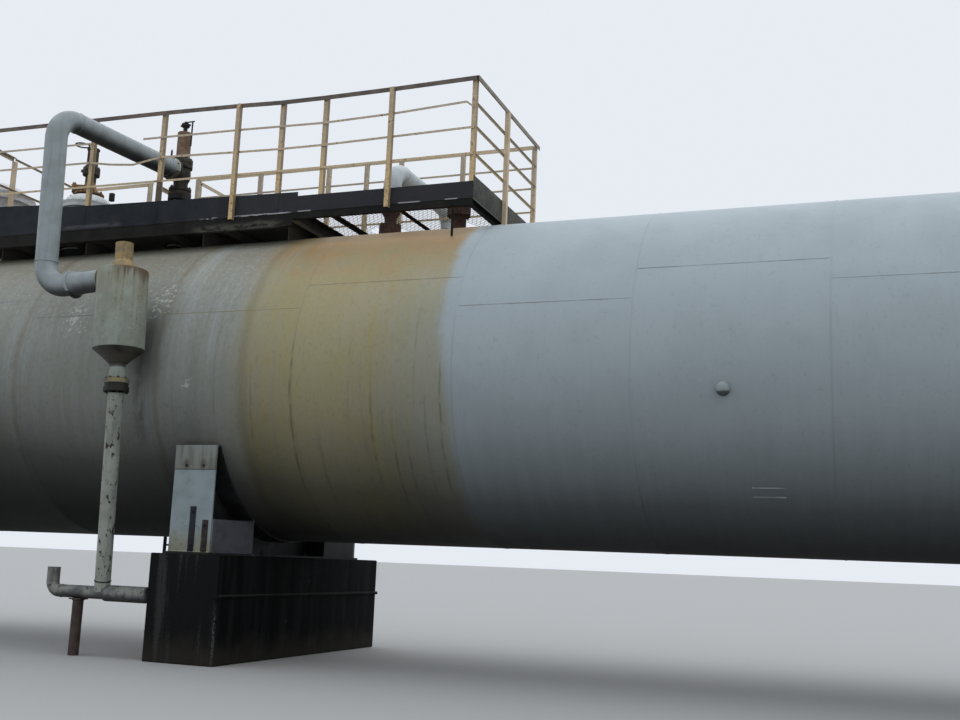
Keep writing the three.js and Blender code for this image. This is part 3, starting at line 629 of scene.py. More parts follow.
def drum_paint():
    """Grey-green paint with rusty water run down from the top rim."""
    f = Finish("drum_paint")
    runs = f.streaks(26, 0.9, 4.0, 0.65)
    mottle = f.noise(None, 8.0, 5.0, 0.6)
    grain = f.noise(None, 80.0, 2.0)
    wet = (runs + ((f.z - 2.55) / 0.8).wave(0.35)).rise(0.46, 0.66)
    rim = (f.z + runs.wave(0.5)).rise(3.22, 3.34) * (f.x + mottle.wave(0.3)).rise(-7.70, -7.52)
    weld = f.z.rise(3.325, 3.333) * f.z.fall(3.337, 3.342) * mottle.rise(0.45, 0.6)
    # Below its edge the drum is dark with dirt and painted shade, lighter to the left; heights are measured
    # along its leaning axis
    level = DRUM_RIM + (f.z - DRUM_RIM) * math.cos(DRUM_LEAN) - (f.x - DRUM_X) * math.sin(DRUM_LEAN)
    cone = level.fall(2.604, 2.608) * (level + mottle.wave(0.04)).rise(2.425, 2.455)
    soot_and_shade = f.mix((0.095, 0.100, 0.090), (0.046, 0.042, 0.033), (f.x + mottle.wave(0.25)).rise(-7.82, -7.64))
    blackest = (f.x + mottle.wave(0.2)).near(-7.53, 0.11) * level.rise(2.53, 2.57)
    soot_and_shade = f.mix(soot_and_shade, (0.009, 0.008, 0.006), blackest * 0.9)
    # The upper flange has a painted highlight in ochre on its near right side
    flange_highlight = ((f.x - DRUM_X) * 0.63 - (f.y - LINE_Y) * 0.78).rise(0.100, 0.130)
    colour = f.layers(
        f.mix((0.265, 0.295, 0.255), (0.215, 0.235, 0.192), mottle.rise(0.38, 0.62)),
        ((0.345, 0.368, 0.340), runs.rise(0.54, 0.68) * 0.5),
        ((0.215, 0.175, 0.090), wet * 0.45),
        ((0.085, 0.055, 0.030), rim * 0.85),
        (RUST, weld),
        ((0.075, 0.065, 0.040), (runs * 0.5 + grain * 0.5).rise(0.56, 0.62) * 0.55),
        (soot_and_shade, cone),
        ((0.080, 0.074, 0.050), level.between(2.297, 2.345, 0.006) * 0.85),
        ((0.240, 0.195, 0.080), flange_highlight * level.between(2.297, 2.355, 0.010) * 0.8),
        ((0.012, 0.010, 0.008), level.fall(2.290, 2.298)),
    )
    return f.done(colour, 0.5 + 0.2 * mottle, mottle * 0.5 + grain * 0.4, 0.0012)


def floor_finish():
    material = bpy.data.materials.new("floor_finish")
    material.use_nodes = True
    shader = material.node_tree.nodes["Principled BSDF"]
    shader.inputs["Base Color"].default_value = (0.38, 0.38, 0.375, 1)
    shader.inputs["Roughness"].default_value = 0.9
    shader.inputs["Specular IOR Level"].default_value = 0.1
    return material


# Modelling


def only(*pieces):
    bpy.ops.object.select_all(action="DESELECT")
    for piece in pieces:
        piece.select_set(True)
    bpy.context.view_layer.objects.active = pieces[0]


def settle(piece):
    """Writes the piece's place, turn and size into its mesh."""
    only(piece)
    bpy.ops.object.transform_apply(location=True, rotation=True, scale=True)
    return piece


def begin(points):
    """Starts a mesh as one point, extruded through the rest as a chain of edges. Leaves it in edit mode."""
    bpy.ops.object.select_all(action="DESELECT")
    bpy.ops.mesh.primitive_plane_add(size=0.01, location=points[0])
    bpy.ops.object.transform_apply(location=True)
    bpy.ops.object.mode_set(mode="EDIT")
    bpy.ops.mesh.merge(type="CENTER")
    for here, there in zip(points, points[1:]):
        step = Vector(there) - Vector(here)
        bpy.ops.mesh.extrude_vertices_move(TRANSFORM_OT_translate={"value": step})
    bpy.ops.mesh.select_all(action="SELECT")


def extrude(step):
    bpy.ops.mesh.extrude_region_move(TRANSFORM_OT_translate={"value": step})


def close():
    """Merges what meets, turns the faces outward and leaves edit mode."""
    bpy.ops.mesh.select_all(action="SELECT")
    bpy.ops.mesh.remove_doubles(threshold=1e-5)
    bpy.ops.mesh.normals_make_consistent(inside=False)
    bpy.ops.object.mode_set(mode="OBJECT")
    return bpy.context.object


def block(corner, opposite, edge, steps=2):
    """A box between two opposite corners, its edges rounded."""
    bpy.ops.object.select_all(action="DESELECT")
    middle = [(a + b) / 2 for a, b in zip(corner, opposite)]
    size = [abs(b - a) for a, b in zip(corner, opposite)]
    bpy.ops.mesh.primitive_cube_add(size=1, location=middle, scale=size)
    bpy.ops.object.transform_apply(location=True, rotation=True, scale=True)
    bpy.ops.object.mode_set(mode="EDIT")
    bpy.ops.mesh.select_all(action="SELECT")
    bpy.ops.mesh.bevel(offset=edge, segments=steps, affect="EDGES")
    bpy.ops.object.mode_set(mode="OBJECT")
    return bpy.context.object


def spun(points, steps, centre, axis):
    """A chain of points turned once round an axis."""
    begin(points)
    bpy.ops.mesh.spin(steps=steps, angle=2 * math.pi, center=centre, axis=axis)
    return close()


def aimed(spot, along):
    """A place at the spot, turned so that Z points along a direction."""
    return Matrix.Translation(spot) @ Vector(along).to_track_quat("Z", "Y").to_matrix().to_4x4()


def stand(piece, foot, along):
    """Moves a piece made upright at the origin to its foot, pointing along a direction."""
    piece.matrix_world = aimed(foot, along)
    return settle(piece)


def turned(profile, foot=(0, 0, 0), along=UP, steps=48):
    """A turned solid; the profile is radius and height, from axis to axis."""
    piece = spun([(r, 0, z) for r, z in profile], steps, (0, 0, 0), UP)
    return stand(piece, foot, along)


def rod(radius, length, foot, along, steps=12):
    return turned([(0, 0), (radius, 0), (radius, length), (0, length)], foot, along, steps)


def about_tank(profile, steps=192):
    """A shell turned about the tank's own axis; the profile is x and radius."""
    return spun([(x, 0, AXIS + r) for x, r in profile], steps, (0, 0, AXIS), (1, 0, 0))


def drawn(outline, path, across="yz"):
    """A rolled section: its outline is drawn across the first point and extruded through the path."""
    u, v = ("xyz".index(letter) for letter in across)
    corners = []
    for a, b in outline:
        corner = list(path[0])
        corner[u] += a
        corner[v] += b
        corners.append(corner)
    begin(corners)
    bpy.ops.mesh.edge_face_add()
    for here, there in zip(path, path[1:]):
        extrude(Vector(there) - Vector(here))
    return close()


def angle_iron(leg, thick, right=1, up=1, heel=(0, 0)):
    """Outline of an angle; its legs run from the heel to the right and up, or the other way."""
    shape = [(0, 0), (leg, 0), (leg, thick), (thick, thick), (thick, leg), (0, leg)]
    return [(heel[0] + a * right, heel[1] + b * up) for a, b in shape]


def channel(wide, deep, thick, right):
    """Outline of a channel, its web at zero and its top at zero."""
    upper = [(0, 0), (wide, 0), (wide, -thick), (thick, -thick)]
    lower = [(a, -deep - b) for a, b in reversed(upper)]
    return [(a * right, b) for a, b in upper + lower]


def flat(wide, thick):
    return [(0, 0), (wide, 0), (wide, thick), (0, thick)]


def ring(radius, bead, centre, along=UP, steps=48):
    """A round bar or weld bead bent into a ring."""
    sizes = {"major_radius": radius, "minor_radius": bead, "major_segments": steps, "minor_segments": 8}
    bpy.ops.object.select_all(action="DESELECT")
    bpy.ops.mesh.primitive_torus_add(location=(0, 0, 0), **sizes)
    return stand(bpy.context.object, centre, along)


def pipe(points, bend, radius, sides=40, steps=14):
    """A round pipe through corner points, with a bend of one radius at each."""
    points = [Vector(point) for point in points]
    here = points[0]
    aim = (points[1] - here).normalized()
    turn = aim.to_track_quat("Z", "Y").to_euler()
    bpy.ops.object.select_all(action="DESELECT")
    place = {"location": here, "rotation": turn}
    bpy.ops.mesh.primitive_circle_add(vertices=sides, radius=radius, fill_type="NGON", **place)
    bpy.ops.object.transform_apply(location=True, rotation=True)
    bpy.ops.object.mode_set(mode="EDIT")
    bpy.ops.mesh.select_all(action="SELECT")
    for corner, after in zip(points[1:], points[2:]):
        onward = (after - corner).normalized()
        swing = aim.angle(onward)
        cut = bend * math.tan(swing / 2)
        stop = corner - aim * cut
        extrude(stop - here)
        axis = aim.cross(onward).normalized()
        hub = stop + axis.cross(aim).normalized() * bend
        bpy.ops.mesh.spin(steps=steps, angle=-swing, center=hub, axis=axis)
        here = corner + onward * cut
        aim = onward
    extrude(points[-1] - here)
    return close()


def copied(piece, matrix):
    twin = piece.copy()
    twin.data = piece.data.copy()
    bpy.context.scene.collection.objects.link(twin)
    twin.matrix_world = matrix
    return settle(twin)


def joined(pieces):
    only(*pieces)
    if len(pieces) > 1:
        bpy.ops.object.join()
    return bpy.context.object


def bolts_at(places, size):
    """Bolts copied to places that each turn Z out of the face below them.
    The pattern is 1 unit across: a hexagon head, a washer and the stud's end."""
    head = turned([(0, 0.12), (0.5, 0.12), (0.5, 0.46), (0.42, 0.54), (0, 0.54)], steps=6)
    washer = turned([(0, 0), (0.62, 0), (0.62, 0.12), (0, 0.12)], steps=12)
    stud = turned([(0, 0.5), (0.26, 0.5), (0.26, 0.72), (0.2, 0.78), (0, 0.78)], steps=8)
    pattern = joined([head, washer, stud])
    copies = [copied(pattern, place @ Matrix.Scale(size, 4)) for place in places]
    bpy.data.objects.remove(pattern)
    return joined(copies)


def bolt_ring(count, reach, centre, size, along=UP, start=0.0):
    """Bolts round a flange, standing on its face."""
    swings = [start + number * 2 * math.pi / count for number in range(count)]
    spots = [(reach * math.cos(swing), reach * math.sin(swing), 0) for swing in swings]
    return bolts_at([aimed(centre, along) @ Matrix.Translation(spot) for spot in spots], size)


def cover_with(piece, material):
    piece.data.materials.clear()
    piece.data.materials.append(material)


def ship(parts, name, material, slot, *nodes, edge=0.0, smooth=32):
    """Joins and names a finished piece, carries it into the frame and lets it ride on the tank."""
    piece = joined(parts) if isinstance(parts, list) else parts
    piece.name = name
    piece.data.name = name
    piece.location = (MID, 0, LIFT)
    settle(piece)
    if edge:
        bevel = piece.modifiers.new("arris", "BEVEL")
        bevel.width = edge
        bevel.segments = 1
        bevel.limit_method = "ANGLE"
        bevel.angle_limit = math.radians(40)
        bpy.ops.object.modifier_apply(modifier=bevel.name)
    bpy.ops.object.shade_smooth_by_angle(angle=math.radians(smooth))
    cover_with(piece, material)
    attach(piece, "root")
    if nodes:
        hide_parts(*nodes)


def paint_node(name, material):
    """Gives a CAD solid whose shape is right its finish."""
    cover_with(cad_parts[name], material)


# Tank

# Heights of the lengthways seams on the near side, in degrees above the middle, for the courses from the left
SEAM_ANGLES = [20.6, 29.0, 20.6, 19.5, 29.0, 17.5, 28.4, 21.0, 29.0, 20.0, 28.0, 20.0, 29.0, 20.0, 28.0, 20.6]
STAINED_COURSES = (3, 4)


def ring_bead(x):
    """Outline of the weld bead on a ring seam."""
    proud = RADIUS + BEAD
    return [(x - BEAD_FOOT, RADIUS), (x - BEAD_TOP, proud), (x + BEAD_TOP, proud), (x + BEAD_FOOT, RADIUS)]


def dish(depth, radius):
    """Half of an ellipse, from the tank's axis to the skirt."""
    swings = [math.pi / 2 * count / DISH_RINGS for count in range(DISH_RINGS + 1)]
    return [(HALF + SKIRT + depth * math.cos(swing), radius * math.sin(swing)) for swing in swings]


def make_shell(paint):
    proud = RADIUS + BEAD
    for number, slot in enumerate(("shell_west", "shell_stained", "shell_fresh", "shell_fresh")):
        left = -HALF + number * SECTION
        right = left + SECTION
        outside = [(left, proud)] + ring_bead(left)[2:]
        for course in range(1, 4):
            outside += ring_bead(left + course * COURSE)
        outside += ring_bead(right)[:2] + [(right, proud)]
        inside = [(right, RADIUS - WALL), (left, RADIUS - WALL)]
        piece = about_tank(outside + inside + outside[:1])
        ship(piece, f"shell_{number + 1}", paint, slot, f"shell_section_{number + 1}", smooth=60)
    for side, where, slot in ((-1, "left", "shell_west"), (1, "right", "shell_fresh")):
        profile = dish(DISH, RADIUS) + ring_bead(HALF)[:1:-1] + [(HALF, proud), (HALF, RADIUS - WALL)]
        profile += reversed(dish(DISH - WALL, RADIUS - WALL))
        piece = about_tank([(side * x, r) for x, r in profile])
        ship(piece, f"dished_end_{where}", paint, slot, f"head_{where}", smooth=60)


def seam_strip(left, side, swing, low, high, proud):
    """A low rib along a course, from low to high round the shell from the seam's own height."""
    out = Vector((0, side * math.cos(swing), math.sin(swing)))
    rise = Vector((0, -side * math.sin(swing), math.cos(swing)))
    middle = Vector((0, 0, AXIS)) + out * RADIUS
    shape = [(low, -0.002), (low, proud * 0.4), ((low + high) / 2, proud)]
    shape += [(high, proud * 0.4), (high, -0.002)]
    corners = [rise * a + out * b for a, b in shape]
    ends = (left + BEAD_FOOT, left + COURSE - BEAD_FOOT)
    return drawn([(corner.y, corner.z) for corner in corners], [(x, middle.y, middle.z) for x in ends])


def make_seams(paint, dirt_and_shade, stained_dirt_and_shade):
    """Lengthways seams on both sides of each course, each a bead with a dark strip below it, dirt and a
    painted shadow of the bead.
    """
    beads, shadows, stained = [], [], []
    for number, height in enumerate(SEAM_ANGLES):
        left = -HALF + number * COURSE
        far_height = height + (9 if number % 2 else -6)
        lines = stained if number in STAINED_COURSES else shadows
        for side, angle in ((-1, height), (1, far_height)):
            swing = math.radians(angle)
            beads.append(seam_strip(left, side, swing, -0.005, 0.007, 0.003))
            lines.append(seam_strip(left, side, swing, -0.010, -0.004, 0.001))
    ship(beads, "seam_beads", paint, "shell_fresh", smooth=50)
    ship(shadows, "seam_dirt_and_shadow", dirt_and_shade, "shell_fresh", smooth=50)
    ship(stained, "seam_dirt_and_shadow_stained", stained_dirt_and_shade, "shell_stained", smooth=50)


def make_boss(paint, dirt_and_shade):
    out = Vector((0, -0.12, -0.024)).normalized()
    profile = [(0, 0), (0.054, 0), (0.054, 0.088), (0.051, 0.098), (0.044, 0.108), (0.033, 0.116)]
    profile += [(0.018, 0.121), (0, 0.1223)]
    parts = [turned(profile, BOSS, out, 40), ring(0.056, 0.006, BOSS + out * 0.052, out)]
    ship(parts, "shell_boss_turned", paint, "shell_fresh", "shell_boss", smooth=60)
    welds = []
    for height in (1.485, 1.42):
        face = -math.sqrt(RADIUS**2 - (AXIS - height) ** 2)
        corner, opposite = (-2.12, face - 0.008, height - 0.006), (-1.87, face + 0.012, height + 0.006)
        welds.append(block(corner, opposite, 0.003))
    ship(welds, "lug_welds", dirt_and_shade, "shell_fresh")


# Saddles and piers


def make_saddles(paint, iron):
    for side, where in ((-1, "left"), (1, "right")):
        paint_node(f"saddle_pad_{where}", paint)
        paint_node(f"saddle_frame_{where}", paint)
        x = side * SADDLE_X
        inner = side * (SADDLE_X - SADDLE_HALF)
        covers, welds, cover_bolts = [], [], []
        for face in (-1, 1):
            skin, outside = face * PLATE_FACE, face * (PLATE_FACE + COVER_T)
            covers.append(block((x - SADDLE_HALF, skin, 1.568), (x + SADDLE_HALF, outside, 1.785), 0.002))
            foot = (inner, face * 0.712)
            path = [(*foot, BASE_TOP), (*foot, 1.130)]
            covers.append(drawn(flat(side * COVER_T, face * 0.688), path, "xy"))
            cover_bolts += [aimed((x + offset, outside, 1.60), (0, face, 0)) for offset in COVER_BOLTS]
            bead = [(0, 0), (face * 0.012, 0), (face * 0.004, 0.006), (0, 0.012)]
            path = [(x + end * SADDLE_HALF, skin, BASE_TOP + 0.0001) for end in (-1, 1)]
            welds.append(drawn(bead, path))
        spots = [(x + offset, y, BASE_TOP) for y in (-1.3, -0.42, 0.42, 1.3) for offset in (-0.15, 0.15)]
        bolts = [bolts_at(cover_bolts, 0.022), bolts_at([Matrix.Translation(spot) for spot in spots], 0.045)]
        ship(covers, f"saddle_cover_{where}", paint, "saddle_paint")
        ship(bolts, f"saddle_bolts_{where}", iron, "saddle_paint", smooth=25)
        ship(welds, f"saddle_welds_{where}", paint, "saddle_paint", smooth=40)


def make_straps(black, worn):
    """Earthing straps that stand on the left saddle's base plate, in front of its end plate."""
    back, front = -1.4083, -1.4163
    for size, x, tall, paint in (("tall", -6.975, 0.402, black), ("short", -6.84, 0.285, worn)):
        bar = block((x - 0.030, front, 0.8336), (x + 0.030, back, 0.8336 + tall), 0.0025)
        places = [aimed((x, front, 0.8336 + height), NEARWARD) for height in (0.06, tall - 0.05)]
        parts = [bar, bolts_at(places, 0.022)]
        ship(parts, f"strap_{size}", paint, "black_steel", f"earth_strap_{size}", smooth=25)


def make_piers(coating):
    """Concrete blocks, each with a bar let into the face that looks to the middle of the tank."""
    for side, where in ((-1, "left"), (1, "right")):
        x = side * PIER_X
        face = side * (PIER_X - PIER_HALF)
        body = block((x - PIER_HALF, -PIER_REACH, -LIFT), (x + PIER_HALF, PIER_REACH, PIER_TOP), 0.010, 3)
        bar = block((face - side * 0.014, -1.58, 0.446), (face + side * 0.02, 1.58, 0.476), 0.004)
        ship([body, bar], f"pier_block_{where}", coating, "pier_coating", f"pier_{where}", smooth=30)


# Platform

FRAME_TOP = 4.1137
JOIST_TOP, JOIST_REACH = 4.1117, 0.895
JOISTS = (-10.59, -10.05, -9.35, -8.98, -8.08, -7.40, -6.51, -6.42, -6.14, -5.44, -4.65)
# Half width and depth of a joist, and of the two light ones beside the riser
JOIST = (0.025, 0.087)
LIGHT_JOISTS = {-6.14: (0.018, 0.045), -5.44: (0.012, 0.030)}
LEG_X = -4.822


def joist(x, wide, deep, thick=0.006):
    """An angle right across the platform, its flange on top."""
    shape = [(-wide, 0), (wide, 0), (wide, -thick), (thick - wide, -thick)]
    shape += [(thick - wide, -deep), (-wide, -deep)]
    return drawn(shape, [(x, -JOIST_REACH, JOIST_TOP), (x, JOIST_REACH, JOIST_TOP)], "xz")


def make_frame(steel):
    parts = []
    for face in (-1, 1):
        y = face * DECK_HALF
        for x0, x1, deep in ((DECK_LEFT, DECK_JOIN - 0.0003, 0.16), (DECK_JOIN + 0.0003, DECK_RIGHT, 0.095)):
            parts.append(drawn(channel(0.045, deep, 0.006, -face), [(x0, y, FRAME_TOP), (x1, y, FRAME_TOP)]))
    parts += [joist(x, *LIGHT_JOISTS.get(x, JOIST)) for x in JOISTS]
    # Two legs stand on the shell near the platform's right end
    foot = AXIS + math.sqrt(RADIUS**2 - 0.885**2)
    for face in (-1, 1):
        path = [(LEG_X, face * DECK_HALF, foot), (LEG_X, face * DECK_HALF, 4.03)]
        parts.append(drawn(angle_iron(0.024, 0.005, 1, -face), path, "xy"))
    ship(parts, "platform_frame", steel, "frame_black", "frame_left", "frame_right", edge=0.0012)
    for number in range(1, 5):
        paint_node(f"cradle_{number}", steel)
    paint_node("deck_left", steel)


def diamond_grid(x0, x1, half, long_way, short_way):
    """A flat grid of diamonds, cut to the deck's rectangle."""
    middle, wide, deep = (x0 + x1) / 2, x1 - x0, 2 * half
    # A grid turned by an eighth covers the deck when its half count reaches the sum of the diamonds both ways
    count = 2 * (math.ceil(wide / short_way / 2) + math.ceil(deep / long_way / 2)) + 2
    bpy.ops.object.select_all(action="DESELECT")
    bpy.ops.mesh.primitive_grid_add(x_subdivisions=count, y_subdivisions=count, size=count / math.sqrt(2))
    grid = bpy.context.object
    grid.rotation_euler = (0, 0, math.pi / 4)
    settle(grid)
    grid.scale = (short_way, long_way, 1)
    grid.location = (middle, 0, DECK - 0.003)
    settle(grid)
    bpy.ops.object.mode_set(mode="EDIT")
    cuts = [((x1, 0, 0), (1, 0, 0)), ((x0, 0, 0), (-1, 0, 0))]
    cuts += [((0, half, 0), (0, 1, 0)), ((0, -half, 0), (0, -1, 0))]
    for place, aim in cuts:
        bpy.ops.mesh.select_all(action="SELECT")
        bpy.ops.mesh.bisect(plane_co=place, plane_no=aim, clear_outer=True)
    bpy.ops.mesh.select_mode(type="FACE")
    bpy.ops.mesh.select_all(action="DESELECT")
    bpy.ops.object.mode_set(mode="OBJECT")
    return grid


def make_deck_mesh(steel):
    """Expanded metal on the right deck, open round the nozzles, with a flat bar along each side."""
    grid = diamond_grid(DECK_JOIN + 0.01, DECK_RIGHT - 0.01, DECK_HALF - 0.01, 0.100, 0.044)
    holes = ((RISER_X, 0.190), (SPARE_X, 0.170))
    for face in grid.data.polygons:
        face.select = any(math.hypot(face.center.x - x, face.center.y) < reach for x, reach in holes)
    bpy.ops.object.mode_set(mode="EDIT")
    bpy.ops.mesh.delete(type="FACE")
    bpy.ops.mesh.select_mode(type="VERT")
    bpy.ops.object.mode_set(mode="OBJECT")
    strands = grid.modifiers.new("strands", "WIREFRAME")
    strands.thickness = 0.0042
    strands.use_even_offset = False
    bpy.ops.object.modifier_apply(modifier=strands.name)
    parts = [grid]
    for face in (-1, 1):
        outer, inner = face * DECK_HALF, face * (DECK_HALF - 0.03)
        parts.append(block((DECK_JOIN, outer, DECK - 0.0055), (DECK_RIGHT, inner, DECK - 0.0015), 0.001))
    ship(parts, "deck_expanded_metal", steel, "frame_black", "deck_right", smooth=20)


def make_deck_collars(steel):
    """Plates that close the left deck round the two necks."""
    low, high = 4.1205, 4.1255
    collars = []
    for x, inner, outer in ((MANHOLE_X, 0.2505, 0.35), (VALVE_X, 0.0845, 0.17)):
        rim = [(inner, low), (outer, low), (outer, high), (inner, high), (inner, low)]
        collars.append(turned(rim, (x, 0, 0), steps=64))
    ship(collars, "deck_collars", steel, "frame_black")


def toe_board(x0, x1, y, foot, left_top, right_top, laps=()):
    """A toe board of thin plate whose top may slope, with a lap strip at each joint."""
    outline = [(0, foot), (x1 - x0, foot), (x1 - x0, right_top), (0, left_top)]
    parts = [drawn(outline, [(x0, y - TOE_T / 2, 0), (x0, y + TOE_T / 2, 0)], "xz")]
    skin = y + math.copysign(TOE_T / 2, y)
    outside = y + math.copysign(TOE_T, y)
    for x in laps:
        top = left_top + (right_top - left_top) * (x - x0) / (x1 - x0)
        parts.append(block((x - 0.004, skin, foot + 0.004), (x + 0.004, outside, top - 0.004), 0.001))
    return joined(parts)


def make_toe_boards(steel, worn):
    near, far = -TOE_LINE, TOE_LINE
    high = toe_board(DECK_LEFT, -9.42, near, 4.08, 4.440, 4.385)
    left = toe_board(-9.42, -6.43, near, 4.08, 4.349, 4.285, (-8.95, -8.07))
    clips = [(-8.075, 4.31), (-6.66, 4.275)]
    feet = [block((x - 0.022, near - 0.005, 4.10), (x + 0.022, near - 0.002, top), 0.001) for x, top in clips]
    ship([left, high] + feet, "toe_board_near_left", steel, "frame_black", "toe_near_left")
    right = toe_board(-6.429, DECK_RIGHT, near, 4.085, 4.245, 4.245)
    ship(right, "toe_board_near_right", steel, "frame_black", "toe_near_right")
    left = toe_board(DECK_LEFT, -9.54, far, 4.085, 4.245, 4.245)
    ship(left, "toe_board_far_left", steel, "frame_black", "toe_far_left")
    right = toe_board(-8.90, DECK_RIGHT, far, 4.085, 4.245, 4.245, (-6.6,))
    ship(right, "toe_board_far_right", steel, "frame_black", "toe_far_right")
    for where, x, top in (("right", DECK_RIGHT + 0.0023, 4.300), ("left", DECK_LEFT - 0.0023, 4.245)):
        board = block((x - 0.002, -DECK_HALF, 4.075), (x + 0.002, DECK_HALF, top), 0.0008)
        ship(board, f"toe_board_{where}_end", worn, "frame_black", f"toe_{where}_end")


# Railings

# Where the bars of the near railing run, as places along the tank and heights, from the right end
NEAR_TOP = [(-4.616, 5.229), (-5.465, 5.215), (-6.19, 5.211), (-6.67, 5.215), (-7.15, 5.234), (-8.07, 5.257)]
NEAR_TOP += [(-10.62, 5.293)]
NEAR_BARS = [
    [(-4.715, 5.011), (-5.465, 4.974), (-6.19, 4.960), (-6.67, 4.972), (-7.15, 4.985), (-8.30, 5.003)],
    [(-4.64, 4.955), (-4.715, 5.011)],
    [(-8.95, 5.018), (-10.62, 5.050)],
    [(-4.63, 4.758), (-5.465, 4.745), (-6.19, 4.735), (-6.67, 4.739), (-7.15, 4.753), (-8.07, 4.786)],
    [(-8.95, 4.806), (-10.62, 4.836)],
    [(-4.63, 4.507), (-5.465, 4.503), (-6.67, 4.512), (-8.07, 4.530), (-10.62, 4.562)],
    # A bowed piece of bar beside the manhole
    [(-8.96, 4.806), (-8.68, 4.762), (-8.40, 4.735), (-8.06, 4.786)],
]
NEAR_POSTS = {
    INNER_POST: (-10.5975, -9.385, -8.95, -8.07, -6.67, -6.19, -4.6425),
    OUTER_POST: (-7.15, -5.465),
}
FAR_POSTS = {"right": (-8.875, -8.01, -7.107, -6.625, -6.20, -5.46, -4.6425), "left": (-10.5975, -9.565)}


def height_at(knots, x):
    """Height of a bar at a place along the tank, or at its right end beyond it."""
    for (x1, z1), (x2, z2) in zip(knots, knots[1:]):
        if x2 <= x <= x1:
            return z1 + (z2 - z1) * (x - x1) / (x2 - x1)
    return knots[0][1]


def handrail(path, toward, across="yz", leg=POST, thick=POST_T):
    """An angle with its heel on top; its flat leg runs from the heel toward 1 or -1."""
    return drawn(angle_iron(leg, thick, toward, -1), path, across)


def mid_bar(path, across="yz"):
    """A thin angle with its flange on top."""
    return drawn(angle_iron(RAIL, RAIL_T, 1, -1, (-RAIL / 2, RAIL / 2)), path, across)


def post(x, y, foot, top, right=-1, up=1):
    """An upright angle; its legs run from the heel to the right and away from us, or the other way."""
    shape = angle_iron(POST, POST_T, right, up, (-right * POST / 2, -up * POST / 2))
    return drawn(shape, [(x, y, foot), (x, y, top)], "xy")


def make_near_railing(paint, post_coat, brown):
    top = [(x, -RAIL_LINE - POST / 2, z + POST / 2) for x, z in NEAR_TOP]
    ship(handrail(top, 1), "near_handrail", brown, "rail_ochre", edge=0.001)
    bars = [mid_bar([(x, -RAIL_LINE, z) for x, z in knots]) for knots in NEAR_BARS]
    ship(bars, "near_railing", paint, "rail_ochre", "railing_near", edge=0.001)
    posts = []
    for line, places in NEAR_POSTS.items():
        # The outer posts reach down past the toe board to the frame
        foot = POST_FOOT if line == INNER_POST else 4.05
        posts += [post(x, -line, foot, height_at(NEAR_TOP, x) + 0.015) for x in places]
    ship(posts, "near_posts", post_coat, "rail_ochre", edge=0.001)


def make_far_railings(paint, bright):
    """Two stretches, with the way to the ladder between them. The riser passes through the middle bar."""
    y = RAIL_LINE - POST / 2
    for where, x0, x1 in (("right", -8.8975, DECK_RIGHT), ("left", DECK_LEFT, -9.5425)):
        # The handrail takes the lighter ochre: painted light for the glare round it against the sky
        rail = handrail([(x0, y, TOP_RAIL), (x1, y, TOP_RAIL)], 1)
        ship(rail, f"far_handrail_{where}", bright, "rail_ochre", edge=0.001)
        runs = [(x0, x1, z) for z in MID_RAILS]
        if where == "right":
            runs[1:2] = [(x0, -6.19, MID_RAILS[1]), (-5.47, x1, MID_RAILS[1])]
        parts = [mid_bar([(a, RAIL_LINE, z), (b, RAIL_LINE, z)]) for a, b, z in runs]
        parts += [post(x, INNER_POST, POST_FOOT, 5.22) for x in FAR_POSTS[where]]
        ship(parts, f"far_railing_{where}", paint, "rail_ochre", f"railing_far_{where}", edge=0.001)


def make_end_railings(paint, bright, brown):
    """Railings across the platform's ends, each with a post of its own outside the deck."""
    ends = (
        ("right", "railing_right_end", -4.6425, -4.5969, -0.112, MID_RAILS),
        ("left", "railing_left_end", -10.5975, -10.6471, -0.215, (4.862, 4.504)),
    )
    for where, node, inner, outer, y, heights in ends:
        low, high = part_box(node)
        if where == "right":
            heel = high.x - MID - 0.022
            rail = handrail([(heel, -0.929, 5.2515), (heel, DECK_HALF, 5.2275)], -1, "xz")
            ship(rail, "right_end_handrail", brown, "rail_ochre", edge=0.001)
            parts = []
        else:
            # Past its post this handrail is only a thin bar
            heel = low.x - MID
            thin = [(heel + 0.02, y, 5.255), (heel + 0.02, DECK_HALF, 5.232)]
            parts = [handrail([(heel, -0.929, 5.290), (heel, y, 5.262)], 1, "xz")]
            parts.append(handrail(thin, 1, "xz", RAIL, RAIL_T))
        middle = outer * 0.45 + inner * 0.55
        parts += [mid_bar([(middle, -0.875, z), (middle, 0.875, z)], "xz") for z in heights]
        ship(parts, f"{where}_end_railing", paint, "rail_ochre", node, edge=0.001)
        ship(post(outer, y, 4.06, 5.215), f"{where}_end_post", bright, "rail_ochre", edge=0.001)


